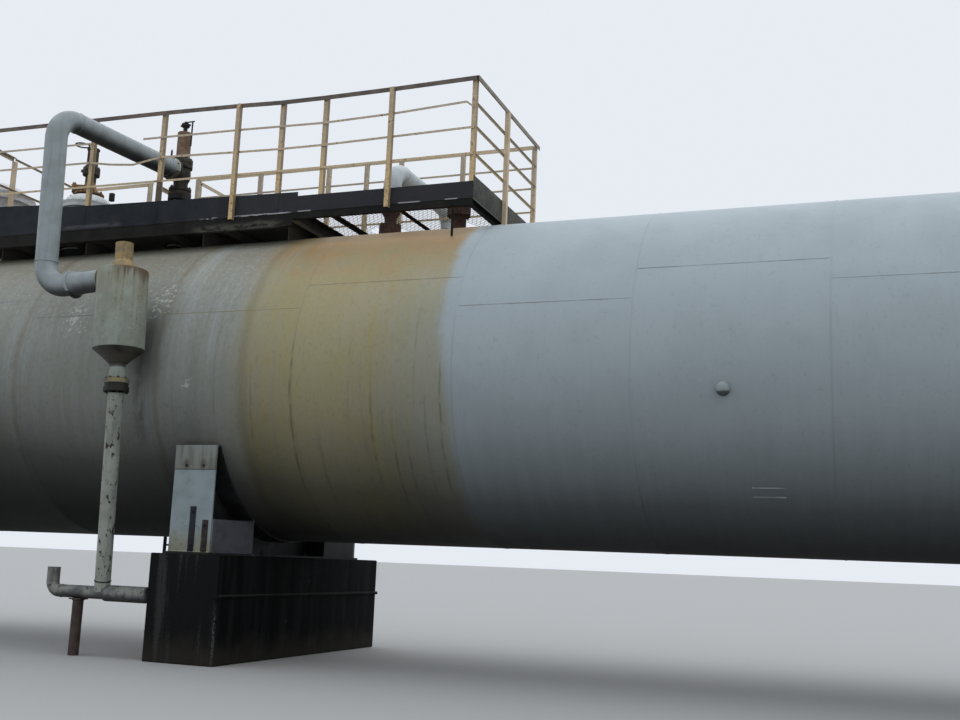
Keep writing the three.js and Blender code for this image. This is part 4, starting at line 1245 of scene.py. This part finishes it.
def make_landing(steel, paint):
    """A grating on an angle frame outside the far railing, with a railing on its left and right."""
    x0, x1, y0, y1 = -9.535, -8.905, 0.9053, 1.65
    parts = []
    for y, turn in ((y0, 1), (y1, -1)):
        parts.append(drawn(angle_iron(0.046, 0.005, turn, -1), [(x0, y, DECK), (x1, y, DECK)]))
    for x, turn in ((x0, 1), (x1, -1)):
        parts.append(drawn(angle_iron(0.046, 0.005, turn, -1), [(x, y0, DECK), (x, y1, DECK)], "xz"))
    for number in range(1, 15):
        x = x0 + (x1 - x0) * number / 15
        path = [(x, y0 + 0.003, DECK - 0.002), (x, y1 - 0.003, DECK - 0.002)]
        parts.append(drawn(flat(0.005, -0.030), path, "xz"))
    for number in range(1, 7):
        y = y0 + (y1 - y0) * number / 7
        path = [(x0 + 0.003, y, DECK - 0.003), (x1 - 0.003, y, DECK - 0.003)]
        parts.append(drawn(flat(0.006, -0.008), path))
    ship(parts, "landing_grating", steel, "frame_black", "landing_floor")
    start, stop = 0.9633, 1.645
    for where, x, turn in (("left", -9.5125, 1), ("right", -8.9275, -1)):
        heel = x - turn * POST / 2
        parts = [post(x, 0.9808, POST_FOOT, 5.21, turn, 1), post(x, 1.6275, POST_FOOT, 5.21, turn, -1)]
        parts.append(handrail([(heel, start, 5.23), (heel, stop, 5.23)], turn, "xz"))
        parts += [mid_bar([(x, start, z), (x, stop, z)], "xz") for z in MID_RAILS[1:]]
        ship(parts, f"landing_railing_{where}", paint, "rail_ochre", f"landing_rail_{where}", edge=0.001)


def make_ladder(steel):
    parts = []
    for side in (-1, 1):
        x = LADDER_X + side * 0.27
        stile = [(side * (0.006 - 0.8 * a), b) for a, b in angle_iron(0.060, 0.006)]
        parts.append(drawn(stile, [(x, 1.6503, -LIFT), (x, 1.6503, 4.11)], "xy"))
        # A stay from the shell's widest place
        parts.append(drawn(flat(0.008, 0.05), [(x - 0.004, 1.5246, 2.475), (x - 0.004, 1.655, 2.475)], "xz"))
    for number in range(13):
        parts.append(rod(0.011, 0.54, (LADDER_X - 0.27, 1.6803, 0.3 + number * 0.3), (1, 0, 0)))
    ship(parts, "access_ladder", steel, "frame_black", "ladder", edge=0.001)


# Fittings on top


def make_manhole(pale, iron):
    foot = (MANHOLE_X, 0, 0)
    neck = [(0, 4.0011), (0.25, 4.0011), (0.25, 4.585), (0.256, 4.6), (0.30, 4.6), (0.30, 4.64), (0, 4.64)]
    ship(turned(neck, foot, steps=64), "manhole_neck_turned", pale, "pale_paint", "manhole_neck")
    cover = [(0, 4.6403), (0.298, 4.6403), (0.30, 4.643), (0.30, 4.672), (0.297, 4.675), (0.268, 4.677)]
    cover += [(0.262, 4.682), (0.255, 4.700), (0.238, 4.730), (0.208, 4.755), (0.17, 4.775), (0.135, 4.787)]
    cover += [(0.1, 4.793), (0, 4.795)]
    ship(turned(cover, foot, steps=64), "manhole_lid", pale, "pale_paint", "manhole_cover", smooth=40)
    bolts = bolt_ring(20, 0.281, (MANHOLE_X, 0, 4.6755), 0.024, start=0.1)
    ship(bolts, "manhole_bolts", pale, "pale_paint", smooth=25)
    ship(block((-9.418, -0.022, 4.710), (-9.366, 0.022, 4.805), 0.004), "cover_lug", iron, "dark_iron")


def make_left_valve(rusty, casting, iron):
    """A relief valve on the manhole's cover, with a capped branch on its right and a lifting ring."""
    x, foot = MANHOLE_X, 4.7953
    stem = Vector((x, 0, foot))
    base = [(0, 0), (0.163, 0), (0.165, 0.003), (0.165, 0.024), (0.160, 0.028), (0.128, 0.032)]
    base += [(0.110, 0.045), (0.094, 0.062), (0.084, 0.080), (0.070, 0.110), (0.061, 0.148), (0, 0.148)]
    branch = [(0, 0), (0.046, 0), (0.046, 0.135), (0.052, 0.140), (0.068, 0.142), (0.068, 0.164)]
    branch += [(0.060, 0.166), (0, 0.166)]
    out = Vector((-0.10, -0.05, 0)).normalized()
    centre = stem + Vector((0, 0, 0.086))
    parts = [turned(base, stem), turned(branch, centre + out * 0.02, out, 32)]
    parts.append(block((x - 0.235, -0.05, foot + 0.005), (x - 0.14, -0.02, foot + 0.020), 0.003))
    ship(parts, "relief_valve_left_base", rusty, "rust_iron", "relief_valve_left", smooth=35)
    neck = [(0, 0.148), (0.061, 0.148), (0.060, 0.220), (0.068, 0.236), (0.093, 0.244), (0.095, 0.247)]
    flanges = [(0.095, 0.283), (0.090, 0.287), (0.090, 0.293), (0.095, 0.297), (0.095, 0.333), (0.092, 0.336)]
    bonnet = [(0.070, 0.342), (0.066, 0.352), (0.064, 0.372), (0.062, 0.530), (0.064, 0.543), (0.071, 0.549)]
    cap = [(0.072, 0.563), (0.066, 0.570), (0.040, 0.580), (0.030, 0.584), (0.030, 0.630)]
    cap += [(0.022, 0.641), (0, 0.645)]
    parts = [turned(neck + flanges + bonnet + cap, stem)]
    rib = [(0, 0), (0.007, 0.002), (0.007, 0.128), (0, 0.13)]
    for number in range(6):
        swing = number * math.pi / 3 + 0.3
        root = stem + Vector((0.061 * math.cos(swing), 0.061 * math.sin(swing), 0.38))
        parts.append(turned(rib, root, UP, 8))
    parts.append(block((x - 0.138, -0.02, foot + 0.296), (x - 0.05, 0.02, foot + 0.330), 0.004))
    ship(parts, "relief_valve_left_body", casting, "rust_iron", smooth=35)
    bolts = [bolt_ring(8, 0.142, (x, 0, foot + 0.0285), 0.030, start=0.2)]
    bolts.append(bolt_ring(6, 0.081, (x, 0, foot + 0.3355), 0.020, start=0.3))
    bolts.append(bolt_ring(6, 0.081, (x, 0, foot + 0.2445), 0.020, DOWN, 0.3))
    bolts.append(bolt_ring(4, 0.056, centre + out * 0.186, 0.014, out, 0.4))
    ship(bolts, "relief_valve_left_bolts", iron, "rust_iron", smooth=25)
    loop = ring(0.078, 0.009, (x - 0.165, 0, foot + 0.632), steps=40)
    arm = rod(0.010, 0.085, (x - 0.005, 0, foot + 0.628), (-1, 0, 0.05), 10)
    ship([loop, arm], "relief_valve_left_handle", iron, "rust_iron")


def make_right_valve(iron, body_paint, housing_rust, pale):
    """A relief valve on its own neck, with an outlet flange toward us and a test lever on top."""
    x, foot, outlet = VALVE_X, 4.6903, 4.952
    neck = [(0, 4.0188), (0.084, 4.0188), (0.084, 4.632), (0.080, 4.634), (0, 4.634)]
    ship(turned(neck, (x, 0, 0)), "valve_nozzle_turned", pale, "pale_paint", "valve_nozzle")
    rim = [(0, 4.632), (0.088, 4.632), (0.092, 4.640), (0.122, 4.640), (0.124, 4.643), (0.124, 4.688)]
    rim += [(0.122, 4.690), (0, 4.690)]
    ship(turned(rim, (x, 0, 0)), "valve_nozzle_flange", iron, "dark_iron")
    flanges = [(0, 0), (0.122, 0), (0.124, 0.003), (0.124, 0.034), (0.118, 0.038), (0.110, 0.044)]
    flanges += [(0.110, 0.050), (0.120, 0.054), (0.122, 0.058), (0.122, 0.088), (0.116, 0.092)]
    flanges += [(0.086, 0.096), (0.080, 0.104)]
    bowl = [(0.078, 0.150), (0.082, 0.168), (0.094, 0.190), (0.100, 0.220), (0.101, 0.262), (0.098, 0.295)]
    bowl += [(0.092, 0.312), (0.096, 0.318)]
    upper = [(0.112, 0.322), (0.114, 0.326), (0.114, 0.362), (0.110, 0.366), (0.110, 0.374), (0.114, 0.378)]
    upper += [(0.114, 0.420), (0.110, 0.426), (0.082, 0.432), (0, 0.432)]
    parts = [turned(flanges + bowl + upper, (x, 0, foot))]
    side = [(0, 0), (0.084, 0), (0.084, 0.138), (0.092, 0.150), (0.124, 0.150), (0.127, 0.153)]
    side += [(0.127, 0.1797), (0, 0.1797)]
    parts.append(turned(side, (x, 0, outlet), NEARWARD))
    ship(parts, "relief_valve_right_body", body_paint, "dark_iron", "relief_valve_right", smooth=35)
    housing = [(0, 0.430), (0.080, 0.430), (0.082, 0.436), (0.082, 0.452), (0.076, 0.458), (0.0755, 0.700)]
    housing += [(0.079, 0.712), (0.080, 0.732), (0.074, 0.742), (0.050, 0.748), (0, 0.749)]
    ship(turned(housing, (x, 0, foot)), "spring_housing", housing_rust, "dark_iron", smooth=35)
    cap = [(0, 0.747), (0.030, 0.747), (0.030, 0.760), (0.023, 0.766), (0.023, 0.802), (0.038, 0.808)]
    cap += [(0.047, 0.820), (0.047, 0.842), (0.038, 0.854), (0.016, 0.860), (0.014, 0.872)]
    cap += [(0.008, 0.8795), (0, 0.8795)]
    parts = [turned(cap, (x, 0, foot), steps=32), rod(0.011, 0.125, (x - 0.062, 0, foot + 0.832), (1, 0, 0))]
    lever = [(x + 0.012, -0.030, foot + 0.852), (x + 0.137, -0.030, foot + 0.856)]
    parts.append(drawn([(-0.005, -0.006), (0.005, -0.006), (0.005, 0.006), (-0.005, 0.006)], lever))
    hang = [(x + 0.112, -0.030, foot + 0.856), (x + 0.112, -0.030, foot + 0.570)]
    parts.append(drawn([(-0.008, -0.004), (0.008, -0.004), (0.008, 0.004), (-0.008, 0.004)], hang, "xy"))
    plug = [(0, 0), (0.010, 0.004), (0.011, 0.085), (0.004, 0.110), (0, 0.112)]
    parts.append(turned(plug, (x - 0.029, -0.165, 5.076), steps=12))
    ship(parts, "test_lever", iron, "dark_iron")
    bolts = [bolt_ring(8, 0.104, (x, 0, foot + 0.0915), 0.028, start=0.35)]
    bolts.append(bolt_ring(8, 0.098, (x, 0, foot + 0.4245), 0.022, start=0.2))
    bolts.append(bolt_ring(8, 0.104, (x, 0, foot - 0.0500), 0.026, DOWN, 0.35))
    bolts.append(bolt_ring(8, 0.108, (x, -0.1498, outlet), 0.022, (0, 1, 0), 0.39))
    ship(bolts, "relief_valve_right_bolts", iron, "dark_iron", smooth=25)


# Vent line, drum and drain


def make_vent_line(paint, flange_paint, ring_paint, rusty):
    """The line from the right valve's outlet down to the drum; gives the direction in which it enters."""
    x, z = VALVE_X, 4.952
    points = [(x, -0.2097, z), (-8.622, LINE_Y, 4.957), (-8.562, LINE_Y, 3.226), (-8.235, LINE_Y, 3.240)]
    points = [Vector(point) for point in points]
    aim, leg = (points[1] - points[0]).normalized(), (points[2] - points[1]).normalized()
    bend = 0.235 / math.tan(aim.angle(leg) / 2)
    run = pipe(points, bend, 0.104)
    # Welds at the start of the sloping run, before the top bend and where the leg meets the lower elbow
    welds = [ring(0.104, 0.004, points[0] + aim * 0.055, aim)]
    welds.append(ring(0.1035, 0.005, points[1] - aim * 0.245, aim))
    welds.append(ring(0.1035, 0.005, points[2] - leg * 0.245, leg))
    # A coupling enters the drum; a loose ring leans on its joint with the elbow
    onward = Vector((-7.9033, LINE_Y, 3.264)) - points[3]
    coupling = [(0, 0), (0.104, 0), (0.116, 0.012), (0.116, 0.045), (0.108, 0.060), (0.101, 0.120)]
    coupling += [(0.101, onward.length), (0, onward.length)]
    parts = [run, turned(coupling, points[3], onward)] + welds
    ship(parts, "vent_line", paint, "line_paint", "relief_line", smooth=40)
    collar = [(0.106, -0.016), (0.124, -0.015), (0.131, -0.008), (0.131, 0.008), (0.124, 0.015)]
    collar += [(0.106, 0.016), (0.106, -0.016)]
    tilt = Vector((math.cos(math.radians(14)), 0, math.sin(math.radians(14))))
    loose = turned(collar, points[3] + Vector((0.004, 0, -0.004)), tilt)
    ship(loose, "vent_line_ring", ring_paint, "line_paint", smooth=30)
    rim = [(0, 0), (0.122, 0), (0.125, 0.003), (0.125, 0.027), (0.122, 0.0297), (0.112, 0.038)]
    rim += [(0.106, 0.052), (0, 0.052)]
    flange = turned(rim, (x, -0.1803, z), NEARWARD)
    ship(flange, "vent_line_flange", flange_paint, "line_paint", smooth=35)
    bolts = bolt_ring(8, 0.1135, (x, -0.2100, z), 0.018, NEARWARD, 0.39)
    ship(bolts, "vent_line_bolts", rusty, "line_paint", smooth=25)
    return onward


def make_drum(drum, vent, iron, onward):
    """The drip drum with its vent on top and a flange pair below; heights are along its leaning axis."""
    up = Vector((-math.sin(DRUM_LEAN), 0, math.cos(DRUM_LEAN)))
    place = Vector((DRUM_X, LINE_Y, DRUM_RIM)) - up * DRUM_RIM
    body = [(0, 2.475), (0.082, 2.475), (0.094, 2.488), (0.216, 2.594), (0.225, 2.600), (0.228, 2.607)]
    body += [(0.228, 3.326), (0.224, 3.337), (0.212, 3.344), (0.10, 3.351), (0, 3.352)]
    parts = [turned(body, place, up, 72)]
    parts += [ring(0.2266, 0.0014, place + up * height, up, 72) for height in (2.614, 3.325)]
    parts.append(ring(0.104, 0.006, (-7.9035, LINE_Y, 3.264), onward))
    ship(parts, "drip_drum_welded", drum, "olive_paint", "drip_drum", smooth=38)
    funnel = [(0, 3.3523), (0.119, 3.3523), (0.120, 3.357), (0.116, 3.375), (0.098, 3.415), (0.084, 3.428)]
    funnel += [(0.080, 3.434), (0.080, 3.594), (0.082, 3.600), (0.077, 3.602), (0.066, 3.602), (0.064, 3.570)]
    ship(turned(funnel + [(0, 3.568)], place, up), "vent_funnel", vent, "rail_ochre", "drum_vent")
    pair = [(0, 2.218), (0.110, 2.218), (0.112, 2.221), (0.112, 2.259), (0.110, 2.262), (0.104, 2.266)]
    pair += [(0.104, 2.290), (0.110, 2.294), (0.112, 2.297), (0.112, 2.332), (0.108, 2.335), (0.086, 2.338)]
    pair += [(0.074, 2.350), (0.072, 2.4747), (0, 2.4747)]
    ship(turned(pair, place, up), "drum_flange_turned", drum, "olive_paint", "drum_flange")
    bolts = [bolt_ring(8, 0.092, place + up * 2.3352, 0.022, up)]
    bolts.append(bolt_ring(8, 0.092, place + up * 2.2180, 0.022, -up))
    ship(bolts, "drum_flange_bolts", iron, "olive_paint", smooth=25)


def make_drain(pale, dirty, rusty, iron):
    """The drain from the drum's lower flange to the header, and the post that carries the header."""
    start, stop = Vector((-7.627, LINE_Y, 2.24)), Vector((-7.812, HEADER_Y, HEADER_Z))
    aim = (stop - start).normalized()
    skipped = 0.0223 / -aim.z
    first = start + aim * skipped
    reach = (stop - start).length - skipped - 0.02
    leg = rod(0.070, reach, first, aim, 40)
    # The slanting cut under the flange
    only(leg)
    bpy.ops.object.mode_set(mode="EDIT")
    bpy.ops.mesh.select_all(action="SELECT")
    bpy.ops.mesh.bisect(plane_co=(0, 0, 2.2160), plane_no=UP, clear_outer=True, use_fill=True)
    leg = close()
    welds = [ring(0.0695, 0.004, first + aim * way, aim) for way in (0.06, 0.82)]
    ship([leg] + welds, "drain_leg", pale, "pale_paint", "drain_pipe", smooth=40)
    ship(ring(0.070, 0.006, first + aim * (reach - 0.09), aim), "drain_bands", iron, "dark_iron")
    along = (1, 0, 0)
    corners = [(x, HEADER_Y, z) for x, z in ((-7.32, HEADER_Z), (-8.37, HEADER_Z), (-8.37, 0.65))]
    sleeve = [(0, 0), (0.058, 0), (0.070, 0.02), (0.072, 0.03), (0.072, 0.455), (0.066, 0.465), (0, 0.468)]
    parts = [pipe(corners, 0.085, 0.057, 36), turned(sleeve, (-7.79, HEADER_Y, HEADER_Z), along, 36)]
    parts += [ring(0.0565, 0.004, (x, HEADER_Y, HEADER_Z), along) for x in (-8.26, -7.42)]
    ship(parts, "drain_header", dirty, "pale_paint", "header", smooth=40)
    x = -8.065
    parts = [rod(0.048, 0.372 + LIFT, (x, HEADER_Y, -LIFT), UP, 48)]
    parts.append(block((x - 0.06, HEADER_Y - 0.06, 0.3707), (x + 0.06, HEADER_Y + 0.06, 0.3827), 0.002))
    parts.append(ring(0.050, 0.006, (x, HEADER_Y, 0.368)))
    ship(parts, "header_stand_post", rusty, "rust_iron", "header_stand", smooth=35)


# Nozzles and dome


def make_nozzles(paint, rusty, iron, pad_paint, end_paint):
    """A nozzle with the gas riser, which runs over the far railing and down again, and a blanked one."""
    for x, reach, number in ((RISER_X, 0.150, 1), (SPARE_X, 0.135, 2)):
        pad = [(0, 3.98), (reach, 3.98), (reach, 4.029), (reach - 0.006, 4.034), (0, 4.034)]
        ship(turned(pad, (x, 0, 0)), f"nozzle_pad_{number}", pad_paint, "shell_stained")
    x, far, level, farward = RISER_X, 1.52, 4.785, (0, 1, 0)
    neck = [(0, 4.0197), (0.076, 4.0197), (0.076, 4.050), (0.082, 4.058), (0.111, 4.060), (0.113, 4.063)]
    neck += [(0.113, 4.112), (0.109, 4.115), (0.109, 4.120), (0.113, 4.123), (0.113, 4.174), (0.110, 4.178)]
    neck += [(0.066, 4.180), (0, 4.180)]
    ship(turned(neck, (x, 0, 0)), "nozzle_a_turned", rusty, "rust_iron", "nozzle_a")
    run = pipe([(x, 0, 4.32), (x, 0, level), (x, far, level), (x, far, 4.305)], 0.2045, 0.092)
    low = [(0, 4.1803), (0.064, 4.1803), (0.062, 4.230), (0.068, 4.262), (0.094, 4.300), (0.094, 4.330)]
    low.append((0, 4.330))
    end = [(0, 4.30), (0.148, 4.30), (0.15, 4.303), (0.15, 4.337), (0.148, 4.34), (0.108, 4.342)]
    end += [(0.096, 4.36), (0.0935, 4.45), (0, 4.45)]
    welds = [ring(0.0915, 0.004, (x, 0, 4.575)), ring(0.0915, 0.004, (x, 0.215, level), farward)]
    welds += [ring(0.0915, 0.004, (x, 1.305, level), farward), ring(0.0915, 0.004, (x, far, 4.57))]
    ship([run] + welds, "gas_riser_pipe", paint, "line_paint", "gas_riser", smooth=40)
    ship(turned(end, (x, far, 0)), "gas_riser_end", end_paint, "line_paint", smooth=40)
    ship(turned(low, (x, 0, 0)), "gas_riser_flange", rusty, "rust_iron", smooth=40)
    bolts = [bolt_ring(8, 0.092, (x, 0, 4.1785), 0.024), bolt_ring(8, 0.125, (x, far, 4.3405), 0.026)]
    bolts.append(bolt_ring(8, 0.096, (x, 0, 4.0605), 0.020, DOWN))
    bolts.append(bolt_ring(8, 0.125, (x, far, 4.2998), 0.026, DOWN))
    ship(bolts, "gas_riser_bolts", rusty, "line_paint", smooth=25)
    x = SPARE_X
    neck = [(0, 4.0193), (0.076, 4.0193), (0.076, 4.203), (0.084, 4.217), (0.115, 4.217), (0.117, 4.22)]
    neck += [(0.117, 4.277), (0.115, 4.28), (0, 4.28)]
    ship(turned(neck, (x, 0, 0)), "nozzle_b_turned", rusty, "rust_iron", "nozzle_b")
    lid = [(0, 4.2803), (0.115, 4.2803), (0.117, 4.283), (0.117, 4.332), (0.113, 4.336), (0.092, 4.340)]
    lid += [(0.088, 4.376), (0, 4.380)]
    ship(turned(lid, (x, 0, 0)), "nozzle_b_blank", iron, "dark_iron", "nozzle_b_cover")
    bolts = bolt_ring(8, 0.095, (x, 0, 4.2168), 0.024, DOWN)
    ship(bolts, "nozzle_b_bolts", rusty, "dark_iron", smooth=25)


def make_dome(paint):
    foot = (DOME_X, 0, 0)
    neck = [(0, 3.9569), (0.44, 3.9569), (0.44, 4.775), (0.448, 4.79), (0.488, 4.79), (0.49, 4.793)]
    neck += [(0.49, 4.837), (0.488, 4.84), (0, 4.84)]
    ship(turned(neck, foot, steps=96), "dome_neck_turned", paint, "pale_paint", "dome_neck")
    lid = [(0, 4.8403), (0.488, 4.8403), (0.49, 4.843), (0.49, 4.877), (0.487, 4.88), (0.449, 4.881)]
    lid += [(0.443, 4.886), (0.435, 4.905), (0.420, 4.930), (0.398, 4.952), (0.355, 4.982), (0.300, 5.009)]
    lid += [(0.235, 5.029), (0.16, 5.041), (0.08, 5.048), (0, 5.05)]
    ship(turned(lid, foot, steps=96), "dome_lid", paint, "pale_paint", "dome_cover", smooth=40)
    ship(bolt_ring(28, 0.468, (DOME_X, 0, 4.8803), 0.026), "dome_bolts", paint, "pale_paint", smooth=25)


def make_stage():
    bpy.ops.object.select_all(action="DESELECT")
    bpy.ops.mesh.primitive_plane_add(size=400, location=(MID, 0, -0.002))
    floor = bpy.context.object
    floor.name = "floor"
    floor.data.materials.append(floor_finish())


make_camera()
make_light()
make_stage()

# Paints: each a base, a faded tone and rust, then how much rust, how strong the runs and how rough
LINE_TONES = (0.275, 0.312, 0.318), (0.235, 0.266, 0.268), (0.150, 0.110, 0.060)

shell = shell_paint()
saddle = saddle_paint()
pier = pier_coat()
toe = toe_paint()
slate = coat(
    "slate_paint", (0.012, 0.0145, 0.019), (0.020, 0.023, 0.028), (0.034, 0.028, 0.022),
    0.14, 0.4, 0.6, spec=0.2,
)
beam = beam_paint()
olive = coat(
    "olive_speckled", (0.046, 0.048, 0.040), (0.078, 0.078, 0.066), (0.022, 0.020, 0.016), 0.30, 0.4, 0.7,
    size=2.0, spec=0.2, shade=(4.088, (0.170, 0.180, 0.150), 0.6),
)
black = coat(
    "black_paint", (0.010, 0.012, 0.018), (0.018, 0.020, 0.028), (0.04, 0.025, 0.02), 0.1, 0.3, 0.5, spec=0.2
)
worn = coat(
    "strap_worn", (0.016, 0.013, 0.012), (0.036, 0.028, 0.023), (0.110, 0.100, 0.085),
    0.32, 0.4, 0.7, size=3.0,
)
brownish = coat(
    "strap_brown", (0.040, 0.026, 0.022), (0.060, 0.042, 0.034), (0.085, 0.040, 0.024),
    0.25, 0.4, 0.7, size=2.0,
)
railing = rail_paint("rail_paint", 1.0, 1.0)
post_paint = rail_paint("post_paint", 0.93, 0.80)
end_rail = coat(
    "handrail_worn", (0.150, 0.122, 0.092), (0.230, 0.185, 0.135), (0.085, 0.050, 0.032), 0.25, 0.2, 0.5
)
bright = coat(
    "post_ochre", (0.590, 0.475, 0.325), (0.505, 0.400, 0.265), (0.290, 0.160, 0.085), 0.18, 0.2, 0.6
)
spring = coat(
    "spring_rust", (0.155, 0.096, 0.064), (0.245, 0.165, 0.115), (0.072, 0.044, 0.032),
    0.3, 0.3, 0.8, size=2.0,
)
brown_rail = coat(
    "handrail_brown", (0.088, 0.070, 0.060), (0.148, 0.114, 0.086), (0.070, 0.040, 0.028), 0.25, 0.2, 0.5
)
rusty = coat(
    "rusty_iron", (0.150, 0.078, 0.038), (0.270, 0.150, 0.070), (0.055, 0.030, 0.020), 0.3, 0.3, 0.8,
    size=2.0, under=0.5,
)
casting = coat(
    "valve_casting", (0.026, 0.022, 0.019), (0.070, 0.048, 0.034), (0.120, 0.060, 0.032),
    0.28, 0.3, 0.7, size=2.0,
)
flange_rust = coat(
    "nozzle_rust", (0.050, 0.024, 0.020), (0.080, 0.040, 0.030), (0.030, 0.018, 0.015),
    0.3, 0.3, 0.8, size=2.0,
)
valve_iron = coat(
    "valve_iron", (0.030, 0.027, 0.022), (0.060, 0.053, 0.041), (0.078, 0.045, 0.028), 0.25, 0.3, 0.7,
    size=2.0, spec=0.2,
)
iron = coat(
    "dark_iron", (0.018, 0.017, 0.017), (0.036, 0.032, 0.030), (0.050, 0.028, 0.020), 0.25, 0.3, 0.7,
    size=2.0, spec=0.2,
)
# Its faces that look down are painted dark as shade
line = coat("line_paint", *LINE_TONES, 0.02, 0.30, 0.45, under=0.92)
# Below 4.915 the flange is dark brown: rust and the painted shade of its underside
flange_paint = coat(
    "vent_flange_paint", (0.330, 0.365, 0.330), (0.270, 0.290, 0.255), RUST, 0.05, 0.3, 0.5,
    shade=(4.915, (0.060, 0.042, 0.026), 0.85),
)
# The boss's lower part is painted dark as shade
cap_paint = coat(
    "boss_paint", (0.270, 0.312, 0.312), (0.235, 0.272, 0.275), RUST, 0.0, 0.3, 0.5,
    shade=(2.186, (0.040, 0.045, 0.044), 0.90),
)
# The ring's underside is painted near black as shade
loose_ring = coat(
    "loose_ring_paint", *LINE_TONES, 0.02, 0.30, 0.45, shade=(3.160, (0.016, 0.016, 0.015), 0.92)
)
riser = coat(
    "riser_paint", (0.500, 0.550, 0.570), (0.430, 0.480, 0.500), (0.180, 0.130, 0.080), 0.02, 0.30, 0.45,
    shade=(4.46, (0.050, 0.045, 0.033), 0.85),
)
# Below the deck's height the pale paint is near black: painted shade under the deck
pale = coat(
    "pale_paint", (0.600, 0.630, 0.620), (0.520, 0.550, 0.540), (0.160, 0.100, 0.060), 0.05, 0.25, 0.5,
    specks=0.2, shade=(4.112, (0.010, 0.010, 0.009), 0.96),
)
white = coat(
    "dome_paint", (0.610, 0.605, 0.615), (0.560, 0.558, 0.560), (0.160, 0.100, 0.060),
    0.08, 0.45, 0.5, specks=0.3,
)
drain = coat(
    "drain_paint", (0.290, 0.305, 0.270), (0.215, 0.228, 0.200), (0.045, 0.036, 0.028), 0.20, 0.6, 0.55,
    size=0.7, specks=1.0,
)
header = coat(
    "header_paint", (0.200, 0.205, 0.185), (0.070, 0.075, 0.078), (0.050, 0.035, 0.025), 0.24, 0.5, 0.6,
    specks=0.8, under=0.8,
)
vent = coat(
    "tan_paint", (0.345, 0.240, 0.108), (0.205, 0.172, 0.098), (0.410, 0.335, 0.215), 0.30, 0.5, 0.6, size=2.2
)
drum = drum_paint()
# The strips under the seam beads: dirt and a painted shadow of each bead
stained_dirt_and_shade = coat(
    "seam_dirt_and_shadow_stained", (0.215, 0.195, 0.130), (0.300, 0.272, 0.180), (0.130, 0.095, 0.050),
    0.10, 0.2, 0.7, size=0.5,
)
dirt_and_shade = coat(
    "seam_dirt_and_shadow", (0.150, 0.163, 0.165), (0.295, 0.332, 0.345), (0.095, 0.100, 0.100), 0.08, 0.2, 0.7, size=0.5
)

make_shell(shell)
make_seams(shell, dirt_and_shade, stained_dirt_and_shade)
make_boss(cap_paint, dirt_and_shade)
make_saddles(saddle, iron)
make_straps(black, worn)
make_piers(pier)
make_frame(beam)
make_deck_mesh(beam)
make_deck_collars(slate)
make_toe_boards(toe, olive)
make_near_railing(railing, post_paint, brown_rail)
make_far_railings(railing, bright)
make_end_railings(railing, bright, end_rail)
make_landing(slate, railing)
make_ladder(slate)
make_manhole(pale, iron)
make_left_valve(rusty, casting, iron)
make_right_valve(iron, valve_iron, spring, pale)
onward = make_vent_line(line, flange_paint, loose_ring, rusty)
make_drum(drum, vent, iron, onward)
make_drain(drain, header, brownish, iron)
make_nozzles(riser, flange_rust, iron, line, valve_iron)
make_dome(white)
